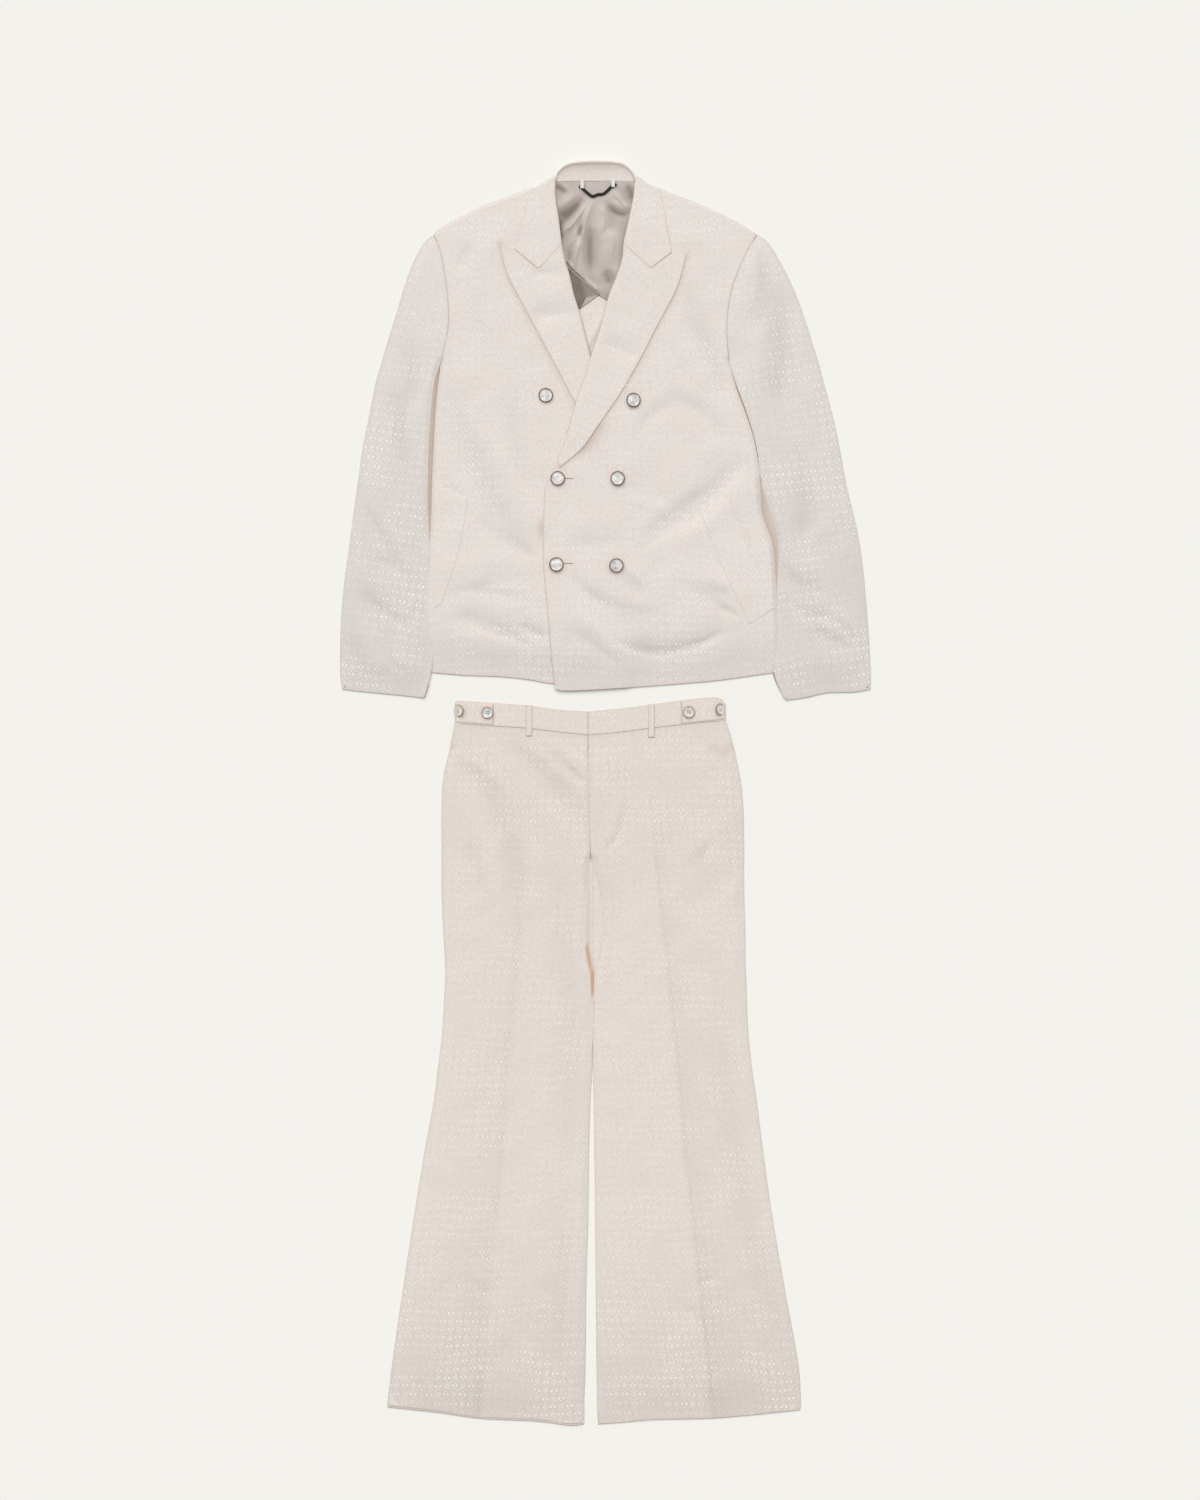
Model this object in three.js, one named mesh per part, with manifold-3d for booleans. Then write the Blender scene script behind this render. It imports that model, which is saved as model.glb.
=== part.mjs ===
import * as THREE from "three";
import { mergeVertices } from "three/addons/utils/BufferGeometryUtils.js";
import Module from "manifold-3d";

// Double-breasted jacket above flared trousers, laid flat on a table, face up.
// Millimetres. +Z up from the table, +Y towards the collar. Right and left are the wearer's,
// so the right side has negative x.

// Cloth and gaps
const BACK_CLOTH = 1.5; // outer cloth with backing, on the table
const FRONT_CLOTH = 2.2; // canvassed jacket front
const SLEEVE_CLOTH = 1.7;
const LAPEL_CLOTH = 1.6;
const LINING_CLOTH = 1;
const LEG_CLOTH = 1.6;
const BAND_CLOTH = 2.4; // interlined waistband
const TAB_CLOTH = 1.6;
const SEAM_GAP = 0.3; // between neighbours at a seam, and between layers

// Loft of the laid garment
const BODY_RISE = 2; // fronts over the backs, away from the shoulder
const BODY_CROWN = 1.3;
const SLEEVE_CROWN = 3;
const LEG_CROWN = 1.9;
const COLLAR_END_HEIGHT = 5.2; // underside of the stand at the ends of its fold
const COLLAR_TOP_HEIGHT = 11; // the same at the centre back
const COLLAR_CLOTH = 1.8;

// How far from an edge the cloth reaches its full loft
const SHOULDER_RUN = 60;
const SIDE_RUN = 70;
const SLEEVE_RUN = 45;
const LEG_RUN = 50;
const HEM_RUN = 60;
const FELT_EDGE = { near: 12, run: 55 }; // a covered edge, as it is felt through the cloth over it

// Small parts
const JACKET_BUTTON = 21; // diameter
const TROUSER_BUTTON = 17;
const BUTTON_TALL = 3.4;
const CORD_RADIUS = 1.5;
const CORD_SIDES = 8;
const LOOP_TAB = { wide: 5.5, long: 13, thick: 1.4 };
const BELT_LOOP = { wide: 9, thick: 1.5 };

const CURVE_STEP = 26; // spacing of the points along a curved edge

const table = (columns, ...rows) =>
  rows.map((row) => Object.fromEntries(columns.map((name, i) => [name, row[i]])));

// Jacket body, a row per level: side and armhole edges of the fronts and of the backs
const BODY = table(
  ["y", "frontRight", "backRight", "frontLeft", "backLeft"],
  [793, -243, -243, 216, 216],
  [765, -233, -233, 200, 200],
  [740, -228, -228, 189, 189],
  [710, -224, -224, 179, 179],
  [680, -222, -222, 174, 174],
  [650, -224, -224, 173, 173],
  [611, -233, -233, 176, 176],
  [570, -238, -229, 188, 171],
  [535, -241, -230, 201, 184],
  [500, -243, -231, 212, 197],
  [460, -245, -232, 219, 205],
  [430, -246, -233, 221, 208],
  [395, -247, -233, 224, 211],
  [350, -249, -234, 239, 224],
  [300, -252, -234, 243, 227],
  [240, -253, -234, 246, 225],
  [172, -247, -232, 248, 227],
);

// Sleeves, a row per level: outer edge, inner edge of the top sleeve and of the under sleeve
const SLEEVE = table(
  ["y", "outerRight", "innerRight", "underRight", "outerLeft", "innerLeft", "underLeft"],
  [793, -243, -243, -243, 216, 216, 216],
  [781, -257, -238, -238, 232, 208, 208],
  [752, -273, -230, -230, 250, 194, 194],
  [715, -286, -225, -225, 268, 181, 181],
  [675, -298, -222, -222, 283, 174, 174],
  [630, -312, -228, -228, 297, 174, 174],
  [611, -317, -233, -233, 303, 176, 176],
  [585, -325, -242, -233, 310, 184, 176],
  [540, -334, -247, -234, 322, 201, 190],
  [490, -344, -250, -237, 333, 217, 203],
  [440, -351, -251, -239, 342, 225, 210],
  [390, -358, -251, -240, 354, 238, 215],
  [350, -363, -248, -240, 362, 246, 229],
  [300, -370, -243, -240, 368, 244, 234],
  [240, -375, -240, -239, 373, 239, 232],
  [175, -376, -246, -244, 377, 239, 235],
  [137, -373, -257, -257, 378, 253, 253],
);

// Shoulder line from the neck out
const SHOULDER = table(
  ["right", "rightY", "left", "leftY"],
  [-72, 876, 46, 876],
  [-92, 864, 62, 865],
  [-120, 853, 90, 853],
  [-180, 830, 133, 836],
  [-230, 804, 180, 814],
  [-243, 793, 216, 793],
);

// Front edges, a row per level: right roll line down to the covered edge, left roll line down to
// the closing edge
const ROLL = table(
  ["y", "right", "left"],
  [868, -70, 42],
  [846, -70, 40],
  [812, -65, 33],
  [780, -61, 26],
  [758, -57, 24],
  [735, -50, 17],
  [708, -44, 6],
  [682, -36, -1],
  [655, -29, -8],
  [620, -20, -20],
  [592, -12, -28],
  [555, 2, -41],
  [510, 18, -54],
  [470, 28, -68],
  [436, 32, -84],
  [396, 34, -87],
  [352, 34, -88],
  [317, 33, -87],
  [261, 31, -82],
  [213, 28, -78],
  [155, 24, -72],
);

const HEM = table(
  ["right", "rightY", "left", "leftY"],
  [24, 151, -71, 148],
  [-20, 153, -60, 145],
  [-74, 155, -21, 146],
  [-110, 161, 57, 151],
  [-149, 165, 120, 156],
  [-200, 167, 163, 160],
  [-247, 171, 248, 172],
);

// Cuffs from the outer edge to the inner one
const CUFF = table(
  ["right", "rightY", "left", "leftY"],
  [-373, 147, 377, 147],
  [-338, 143, 352, 143],
  [-295, 139, 315, 142],
  [-259, 135, 283, 135],
  [-257, 137, 253, 131],
);

// Lapels: free edge from the peak down to the button; the right one runs on under the left front
const LAPEL = table(
  ["right", "rightY", "left", "leftY"],
  [-149, 780, 116, 764],
  [-142, 745, 105, 724],
  [-132, 721, 96, 703],
  [-99, 660, 73, 660],
  [-80, 624, 50, 615],
  [-62, 591, 21, 565],
  [-44, 557, -10, 520],
  [-27, 535, -31, 490],
  [-2, 505, -51, 472],
  [20, 484, -64, 462],
);

// Collar leaf and gorge, a row per corner
const LEAF = table(
  ["corner", "right", "rightY", "left", "leftY"],
  ["shoulder", -105, 858.5, 77, 858.5],
  ["side", -111, 839, 83, 833],
  ["point", -128, 771, 95, 767],
  ["notch", -94, 743, 65, 744],
  ["gorge", -61, 780, 26, 780],
);

// Collar fold at the back of the neck, seen from above
const COLLAR_FOLD = table(
  ["x", "y"],
  [-70, 868],
  [-67, 881],
  [-55, 892],
  [-36, 896],
  [-11, 897],
  [13, 896],
  [28, 892],
  [39, 881],
  [42, 868],
);

// Lining of the neck opening: its sides under the fronts and its slanting lower edge
const LINING = { top: 867, left: 60, right: -88, sideLow: 715 };
const LINING_EDGE = table(["x", "y"], [-62, 695], [-37, 686], [-9, 706], [3, 699], [32, 684]);
const INNER_LOW = table(["x", "y"], [6, 600], [-46, 600]);

// Slanted hip-pocket welts, a row per corner
const WELT = table(
  ["right", "rightY", "left", "leftY"],
  [-236, 438, 173, 424],
  [-194, 419, 136, 395],
  [-207, 345, 168, 317],
  [-232, 268, 205, 240],
  [-243, 262, 241, 262],
);

const JACKET_BUTTONS = table(
  ["name", "x", "y", "on"],
  ["top_right", -84, 564, "front_right"],
  ["top_left", 40, 557, "front_left"],
  ["middle_right", -67, 446, "front_left"],
  ["middle_left", 18, 446, "front_left"],
  ["bottom_right", -69, 324, "front_left"],
  ["bottom_left", 16, 323, "front_left"],
);

const LOOP_PATH = table(["x", "y"], [-32, 858], [-25, 851], [-16, 847], [-1, 848], [6, 852], [12, 859]);

// Trouser legs, a row per level: outer, inner and centre-back edges
const LEG = table(
  ["y", "outerRight", "innerRight", "seatRight", "seatLeft", "innerLeft", "outerLeft"],
  [60, -221, -24, -18, -18, -24, 184],
  [20, -230, -23, -18, -18, -23, 192],
  [-20, -232, -23, -17, -17, -23, 196],
  [-60, -232, -22, -17, -17, -22, 197],
  [-98, -232, -21, -17, -17, -19, 197],
  [-132, -232, -22, -17, -17, -9, 197],
  [-170, -231, -24, -17, -17, -4, 198],
  [-210, -229, -27, -17, -17, -5, 199],
  [-240, -227, -23, -17, -17, -12, 199],
  [-262, -227, -19, -18, -16, -15, 200],
  [-337, -231, -18.6, -18.6, -16, -16, 203],
  [-388, -237, -20, -20, -17, -17, 208],
  [-436, -243, -21, -21, -16, -16, 215],
  [-507, -256, -23, -23, -15, -15, 224],
  [-599, -271, -24, -24, -14, -14, 237],
  [-704, -287, -27, -27, -13, -13, 255],
  [-809, -302, -28, -28, -12, -12, 274],
  [-866, -309, -30, -30, -11, -11, 278],
);

// Waistband, a row per station: seam to the legs and top edge
const WAIST = table(
  ["x", "seamY", "topY"],
  [-213, 99, 129],
  [-203, 98, 131],
  [-159, 95, 128],
  [-114, 92, 125],
  [-70, 87, 119],
  [-24, 82, 116],
  [20, 86, 120],
  [66, 92, 126],
  [110, 97, 132],
  [150, 101, 136],
  [164, 102, 134],
  [171, 103, 126],
);

const LEG_HEM = table(
  ["right", "rightY", "left", "leftY"],
  [-30, -896, -10, -896],
  [-50, -898, 20, -894],
  [-97, -892, 67, -890],
  [-176, -888, 146, -888],
  [-242, -879, 199, -884],
  [-309, -872, 277, -876],
);

const FLY = { right: -31, left: 24, low: -72 };
const TABS = table(["name", "from", "to"], ["right", -212, -158], ["left", 108, 169]);
const BELT_LOOPS = table(["name", "x", "low", "high"], ["right", -108, 81, 125], ["left", 66, 79, 126]);
const TROUSER_BUTTONS = table(
  ["name", "x", "y", "on"],
  ["outer_right", -203, 117, "side_tab_right"],
  ["inner_right", -167, 114, "side_tab_right"],
  ["inner_left", 119, 115, "side_tab_left"],
  ["outer_left", 159, 119, "side_tab_left"],
);

// Folds: start, bend and end of a soft trough, its half width and its height. A second, lower
// wave runs along its left-hand side, or its right-hand side where the half width is negative.
const FOLD_COLUMNS = ["x0", "y0", "x1", "y1", "x2", "y2", "half", "rise"];
const FRONT_FOLDS = table(
  FOLD_COLUMNS,
  [-231, 595, -152, 405, -94, 331, 22, -2.2],
  [-121, 568, -125, 500, -94, 383, 18, -1.4],
  [-189, 781, -200, 760, -210, 738, 16, -1],
  [-231, 271, -179, 293, -94, 304, 18, -1.2],
  [-226, 250, -163, 239, -102, 206, -16, -1.6],
  [102, 701, 155, 606, 166, 542, -18, -1.6],
  [209, 479, 139, 426, 44, 346, 18, -2.3],
  [71, 574, 139, 537, 172, 494, 16, -1.1],
  [-62, 351, -14, 354, 34, 356, 16, -1],
  [-51, 310, 13, 256, 71, 250, -16, -1.4],
  [23, 230, 81, 200, 187, 234, -17, -2.3],
  [118, 298, 153, 274, 187, 250, 16, -1.6],
  [-109, 680, -70, 678, -30, 683, 16, -1.4],
  [-4, 643, 22, 628, 50, 616, 16, -1.2],
);
const SLEEVE_FOLDS = table(
  FOLD_COLUMNS,
  [193, 659, 219, 701, 227, 775, 16, -1.6],
  [240, 727, 246, 616, 230, 552, -20, -2],
  [293, 436, 288, 396, 283, 356, 16, -1.2],
  [246, 314, 280, 296, 314, 277, 16, -1.4],
  [288, 234, 320, 218, 352, 203, 16, -1.3],
  [-280, 648, -274, 595, -268, 542, 18, -1.6],
  [-301, 585, -292, 524, -284, 463, 18, -1.1],
  [-348, 288, -326, 269, -305, 250, 16, -1.2],
  [-369, 230, -350, 190, -332, 151, 16, -1.5],
);
const LEG_FOLDS = table(
  FOLD_COLUMNS,
  [-120, -192, -141, -425, -147, -528, 15, 1.5],
  [-147, -528, -166, -690, -179, -886, 15, 1.5],
  [71, -115, 92, -294, 113, -514, 15, 1.5],
  [113, -514, 132, -699, 152, -888, 15, 1.5],
  [-224, 43, -145, -37, -124, -200, -18, -1.6],
  [-145, 85, -75, 11, -27, -57, -18, -1.4],
  [2, -89, 5, -220, 1, -342, 22, -1],
  [-75, -89, -47, -301, -55, -568, 26, -1.4],
  [-55, -568, -59, -710, -59, -853, 24, -1.2],
  [128, -81, 141, -114, 160, -183, 18, -1],
  [189, -50, 180, -96, 173, -142, 16, -1],
  [156, -220, 193, -548, 268, -819, 24, -1.5],
);

// Colours
const ECRU = 0xe3dad3;
const ECRU_COOL = 0xdad5d0;
const ECRU_LEG = 0xdcd3cc;
const SATIN = 0xbdb1ab;
const PEARL = 0xcfcdca;
const CORD_BLACK = 0x1b1a1a;
const TAB_WHITE = 0xe6e4e0;

const wasm = await Module();
wasm.setup();

function toSolid(geometry) {
  geometry.deleteAttribute("normal");
  geometry.deleteAttribute("uv");
  const merged = mergeVertices(geometry, 1e-4);
  return new wasm.Manifold(
    new wasm.Mesh({
      numProp: 3,
      vertProperties: Float32Array.from(merged.attributes.position.array),
      triVerts: Uint32Array.from(merged.index.array),
    }),
  );
}

function toGeometry(solid) {
  const mesh = solid.getMesh();
  const geometry = new THREE.BufferGeometry();
  geometry.setAttribute("position", new THREE.BufferAttribute(Float32Array.from(mesh.vertProperties), 3));
  geometry.setIndex(new THREE.BufferAttribute(Uint32Array.from(mesh.triVerts), 1));
  geometry.computeVertexNormals();
  return geometry;
}

// Edge curves from the tables
const point = (x, y) => new THREE.Vector2(x, y);
const column = (rows, x, y = "y") => rows.map((row) => point(row[x], row[y]));
const between = (rows, high, low) => rows.filter((row) => row.y <= high && row.y >= low);

function curve(points) {
  const spline = new THREE.SplineCurve(points);
  const count = Math.max(2, Math.round(spline.getLength() / CURVE_STEP));
  return spline.getSpacedPoints(count);
}

// Joins edge curves end to end into one closed outline, drawn anticlockwise
function outline(...edges) {
  const all = edges.flat();
  const kept = all.filter((p, i) => p.distanceTo(all[(i + 1) % all.length]) > 0.5);
  return THREE.ShapeUtils.isClockWise(kept) ? kept.reverse() : kept;
}

// Moves every side of an outline in by half the seam gap
function trim(points) {
  const normal = (a, b) => point(a.y - b.y, b.x - a.x).normalize();
  return points.map((p, i) => {
    const before = normal(points.at(i - 1), p);
    const after = normal(p, points[(i + 1) % points.length]);
    const shift = before.clone().add(after);
    return p.clone().addScaledVector(shift, SEAM_GAP / 2 / (1 + before.dot(after)));
  });
}

function prism(points, low, high) {
  const geometry = new THREE.ExtrudeGeometry(new THREE.Shape(points), {
    depth: high - low,
    bevelEnabled: false,
  });
  return toSolid(geometry.translate(0, 0, low));
}

const ease = (t) => THREE.MathUtils.smoothstep(t, 0, 1);

function distanceToPath(path, x, y) {
  const here = new THREE.Vector3(x, y, 0);
  const near = new THREE.Vector3();
  const piece = new THREE.Line3();
  let best = { away: Infinity, side: 1, along: 0 };
  path.slice(1).forEach((end, i) => {
    piece.set(new THREE.Vector3(path[i].x, path[i].y, 0), new THREE.Vector3(end.x, end.y, 0));
    const t = piece.closestPointToPointParameter(here, true);
    piece.at(t, near);
    const away = near.distanceTo(here);
    if (away < best.away) {
      const turn = (end.x - path[i].x) * (y - path[i].y) - (end.y - path[i].y) * (x - path[i].x);
      best = { away, side: Math.sign(turn), along: (i + t) / (path.length - 1) };
    }
  });
  return best;
}

// Height added by a table of folds at one place
function foldField(rows) {
  const folds = rows.map((row) => ({
    ...row,
    path: new THREE.QuadraticBezierCurve(
      point(row.x0, row.y0),
      point(2 * row.x1 - (row.x0 + row.x2) / 2, 2 * row.y1 - (row.y0 + row.y2) / 2),
      point(row.x2, row.y2),
    ).getPoints(8),
  }));
  return (x, y) =>
    folds.reduce((sum, fold) => {
      const { away, side, along } = distanceToPath(fold.path, x, y);
      const half = Math.abs(fold.half);
      const across = (away * side * Math.sign(fold.half)) / half;
      const wave = Math.exp(-across * across) - 0.45 * Math.exp(-((across - 1.7) ** 2));
      return sum + fold.rise * wave * ease(1.4 - 1.2 * Math.abs(2 * along - 1));
    }, 0);
}

// A lattice laid over a garment keeps the height reached so far at each of its crossings, so
// that each piece rests on what is under it
const makeLattice = (stepX, stepY) => ({ stepX, stepY, pile: new Map() });
const key = (i, j) => `${i},${j}`;

function inside(points, x, y) {
  return points.reduce((found, a, i) => {
    const b = points[(i + 1) % points.length];
    const crosses = a.y > y !== b.y > y && x < ((b.x - a.x) * (y - a.y)) / (b.y - a.y) + a.x;
    return crosses ? !found : found;
  }, false);
}

function cellsUnder({ stepX, stepY }, points) {
  const cells = new Map();
  const keep = (i, j) => cells.set(key(i, j), [i, j]);
  points.forEach((a, n) => {
    const b = points[(n + 1) % points.length];
    const steps = Math.ceil(a.distanceTo(b));
    for (let s = 0; s <= steps; s += 1) {
      const p = a.clone().lerp(b, s / steps);
      keep(Math.floor(p.x / stepX), Math.floor(p.y / stepY));
    }
  });
  const box = new THREE.Box2().setFromPoints(points);
  for (let i = Math.floor(box.min.x / stepX); i * stepX < box.max.x; i += 1) {
    for (let j = Math.floor(box.min.y / stepY); j * stepY < box.max.y; j += 1) {
      if (inside(points, i * stepX, j * stepY)) keep(i, j);
    }
  }
  return { cells: [...cells.values()], box };
}

function raisePile(lattice, cells, topAt) {
  for (const [i, j] of cells) {
    for (const [a, b] of [[i, j], [i + 1, j], [i, j + 1], [i + 1, j + 1]]) {
      lattice.pile.set(key(a, b), topAt(a, b));
    }
  }
}

// Flat piece between two heights
function layFlat(lattice, points, low, thick) {
  const cut = trim(points);
  raisePile(lattice, cellsUnder(lattice, cut).cells, () => low + thick);
  return { solid: prism(cut, low, low + thick) };
}

// Closed slab over a rectangle of lattice cells with given underside heights
function slab({ stepX, stepY }, i0, i1, j0, j1, thick, lowAt) {
  const across = i1 - i0 + 1;
  const layer = across * (j1 - j0 + 1);
  const positions = [];
  for (const lift of [0, thick]) {
    for (let j = j0; j <= j1; j += 1) {
      for (let i = i0; i <= i1; i += 1) positions.push(i * stepX, j * stepY, lowAt(i, j) + lift);
    }
  }
  const at = (i, j) => (j - j0) * across + (i - i0);
  const faces = [];
  const wall = (a, b) => faces.push(a, b, b + layer, a, b + layer, a + layer);
  for (let j = j0; j < j1; j += 1) {
    for (let i = i0; i < i1; i += 1) {
      const [a, b, c, d] = [at(i, j), at(i + 1, j), at(i + 1, j + 1), at(i, j + 1)];
      faces.push(a + layer, b + layer, c + layer, a + layer, c + layer, d + layer);
      faces.push(a, c, b, a, d, c);
    }
  }
  for (let i = i0; i < i1; i += 1) {
    wall(at(i, j0), at(i + 1, j0));
    wall(at(i + 1, j1), at(i, j1));
  }
  for (let j = j0; j < j1; j += 1) {
    wall(at(i1, j), at(i1, j + 1));
    wall(at(i0, j + 1), at(i0, j));
  }
  const geometry = new THREE.BufferGeometry();
  geometry.setAttribute("position", new THREE.Float32BufferAttribute(positions, 3));
  geometry.setIndex(faces);
  return toSolid(geometry);
}

// Piece that takes the wished height wherever the layers under it allow. Pieces laid after it
// rest on it below the level feltBelow, and lie beside it above that.
function layOver(lattice, points, thick, wish, feltBelow = Infinity) {
  const { stepX, stepY, pile } = lattice;
  const cut = trim(points);
  const { cells, box } = cellsUnder(lattice, cut);
  const low = new Map();
  const lowAt = (i, j) => {
    const name = key(i, j);
    if (!low.has(name)) {
      low.set(name, Math.max(wish(i * stepX, j * stepY), (pile.get(name) ?? 0) + SEAM_GAP));
    }
    return low.get(name);
  };
  const [i0, i1] = [Math.floor(box.min.x / stepX), Math.ceil(box.max.x / stepX)];
  const [j0, j1] = [Math.floor(box.min.y / stepY), Math.ceil(box.max.y / stepY)];
  const sheet = slab(lattice, i0, i1, j0, j1, thick, lowAt);
  const felt = cells.filter(([, j]) => j * stepY < feltBelow);
  raisePile(lattice, felt, (i, j) => lowAt(i, j) + thick);
  const solid = sheet.intersect(prism(cut, -5, 60));
  return { solid, lattice, topAt: (i, j) => lowAt(i, j) + thick };
}

// Neighbours that meet at seams, so that none rests on another
function laySideBySide(lattice, pieces) {
  const before = new Map(lattice.pile);
  return pieces.map(({ points, thick, wish }) => {
    const own = { ...lattice, pile: new Map(before) };
    const laid = layOver(own, points, thick, wish);
    for (const [name, height] of own.pile) {
      lattice.pile.set(name, Math.max(lattice.pile.get(name) ?? 0, height));
    }
    return laid;
  });
}

// Height of a laid piece at a place, on the same triangles as its slab
function heightOf({ lattice, topAt }, x, y) {
  const [i, j] = [Math.floor(x / lattice.stepX), Math.floor(y / lattice.stepY)];
  const [u, v] = [x / lattice.stepX - i, y / lattice.stepY - j];
  const h = (a, b) => topAt(i + a, j + b);
  return u >= v
    ? h(0, 0) + u * (h(1, 0) - h(0, 0)) + v * (h(1, 1) - h(1, 0))
    : h(0, 0) + u * (h(1, 1) - h(0, 1)) + v * (h(0, 1) - h(0, 0));
}

function highestUnder(laid, x, y, radius) {
  let top = 0;
  for (const share of [0, 0.33, 0.66, 1]) {
    for (let turn = 0; turn < 24; turn += 1) {
      const arm = point(share * radius, 0).rotateAround(point(0, 0), (turn * Math.PI) / 12);
      top = Math.max(top, heightOf(laid, x + arm.x, y + arm.y));
    }
  }
  return top;
}

function meshOf(name, geometry, color, roughness, metalness = 0) {
  const material = new THREE.MeshStandardMaterial({ color, roughness, metalness });
  const mesh = new THREE.Mesh(geometry, material);
  mesh.name = name;
  material.name = name;
  return mesh;
}

const jacket = new THREE.Group();
jacket.name = "jacket";
const trousers = new THREE.Group();
trousers.name = "trousers";
const laidPieces = {};
function cloth(group, name, laid, color, roughness = 0.75) {
  laidPieces[name] = laid;
  group.add(meshOf(name, toGeometry(laid.solid), color, roughness));
}

// Jacket lattice and edges
const jacketLattice = makeLattice(22, 30);
const ARMPIT = 611;
const armhole = (side) => curve(column(between(BODY, 793, ARMPIT), side));
const bodySide = (side) => curve(column(between(BODY, ARMPIT, 172), side));
const shoulder = (side) => curve(column(SHOULDER, side, `${side}Y`));
const hem = (side) => curve(column(HEM, side, `${side}Y`));
const roll = (side, high, low) => curve(column(between(ROLL, high, low), side));
const reversed = (points) => [...points].reverse();
const CENTRE_BACK = [point(-14, ROLL[0].y), point(0, 166)];
const BACK_HEM_BEND = { x: 150, y: 170 };
const SLEEVE_OVER_LEVEL = 420; // the fronts lie over the sleeves below it
const SIDES = table(
  ["side", "Side", "sign"],
  ["right", "Right", -1],
  ["left", "Left", 1],
);

// Backs, flat on the table
for (const { side, Side, sign } of SIDES) {
  const points = outline(
    [CENTRE_BACK[0], point(ROLL[0][side], ROLL[0].y)],
    shoulder(side),
    armhole(`front${Side}`),
    bodySide(`back${Side}`),
    [point(sign * BACK_HEM_BEND.x, BACK_HEM_BEND.y)],
    [CENTRE_BACK[1]],
  );
  cloth(jacket, `back_${side}`, layFlat(jacketLattice, points, 0, BACK_CLOTH), ECRU);
}

// Under sleeves, flat on the table beside them
const cuff = (side) => curve(column(CUFF, side, `${side}Y`));
const sleeveOuter = (side, Side) =>
  curve([...column(between(SLEEVE, 793, 175), `outer${Side}`), cuff(side)[0]]);
const sleeveInner = (name) => curve(column(between(SLEEVE, ARMPIT, 137), name));
for (const { side, Side } of SIDES) {
  const points = outline(
    armhole(`front${Side}`),
    sleeveInner(`under${Side}`),
    reversed(cuff(side)),
    reversed(sleeveOuter(side, Side)),
  );
  cloth(jacket, `sleeve_under_${side}`, layFlat(jacketLattice, points, 0, BACK_CLOTH), ECRU_COOL);
}

// Satin lining and lower inner back of the neck opening
const liningPoints = outline(
  [point(LINING.right, LINING.top - 12), point(-70, LINING.top), point(42, LINING.top)],
  [point(LINING.left, LINING.top - 8), point(LINING.left, LINING.sideLow)],
  reversed(column(LINING_EDGE, "x")),
  [point(LINING.right, LINING.sideLow)],
);
cloth(
  jacket,
  "back_lining",
  layFlat(jacketLattice, liningPoints, BACK_CLOTH + SEAM_GAP, LINING_CLOTH),
  SATIN,
  0.4,
);
const innerPoints = outline(column(LINING_EDGE, "x"), column(INNER_LOW, "x"));
cloth(
  jacket,
  "back_inner_lower",
  layFlat(jacketLattice, innerPoints, BACK_CLOTH + SEAM_GAP, LINING_CLOTH),
  ECRU,
);

// Top sleeves
const sleeveFold = foldField(SLEEVE_FOLDS);
for (const { side, Side } of SIDES) {
  const outer = sleeveOuter(side, Side);
  const inner = sleeveInner(`inner${Side}`);
  const points = outline(armhole(`front${Side}`), inner, reversed(cuff(side)), reversed(outer));
  const wish = (x, y) => {
    const fromOuter = ease(distanceToPath(outer, x, y).away / SLEEVE_RUN);
    const fromInner = ease(distanceToPath(inner, x, y).away / SLEEVE_RUN);
    return BACK_CLOTH + SEAM_GAP + SLEEVE_CROWN * fromOuter * fromInner + sleeveFold(x, y);
  };
  const laid = layOver(jacketLattice, points, SLEEVE_CLOTH, wish, SLEEVE_OVER_LEVEL);
  cloth(jacket, `sleeve_top_${side}`, laid, ECRU_COOL);
}

// Fronts, the right one under the left one
const frontFold = foldField(FRONT_FOLDS);
const shoulderLine = [...reversed(shoulder("right")), ...shoulder("left")];
const bodyLoft = (x, y) => {
  const drop = ease(distanceToPath(shoulderLine, x, y).away / SHOULDER_RUN);
  const sides = BODY.reduce(
    (least, row) => (Math.abs(row.y - y) < Math.abs(least.y - y) ? row : least),
    BODY[0],
  );
  const fromSide = Math.max(0, Math.min(x - sides.frontRight, sides.frontLeft - x));
  const crown = BODY_CROWN * ease(fromSide / SIDE_RUN) * ease((y - HEM[0].rightY) / HEM_RUN);
  return BACK_CLOTH + SEAM_GAP + BODY_RISE * drop + crown + frontFold(x, y) * drop;
};
const frontOutline = (side, Side) =>
  outline(
    roll(side, 868, 155),
    hem(side),
    reversed(bodySide(`front${Side}`)),
    reversed(armhole(`front${Side}`)),
    reversed(shoulder(side)),
  );
const lapelOutline = (side, leaf, low) =>
  outline(
    [point(leaf.gorge[0], leaf.gorge[1]), point(leaf.notch[0], leaf.notch[1])],
    curve(column(LAPEL, side, `${side}Y`)),
    reversed(roll(side, 780, low)),
  );
const leafCorners = (side) =>
  Object.fromEntries(LEAF.map((row) => [row.corner, [row[side], row[`${side}Y`]]]));

// Share of a covered piece's thickness that is still felt at some distance from its edge
const ramp = (points) => (x, y) => {
  if (inside(points, x, y)) return 1;
  const { away } = distanceToPath([...points, points[0]], x, y);
  return ease(1 - (away - FELT_EDGE.near) / FELT_EDGE.run);
};

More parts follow.
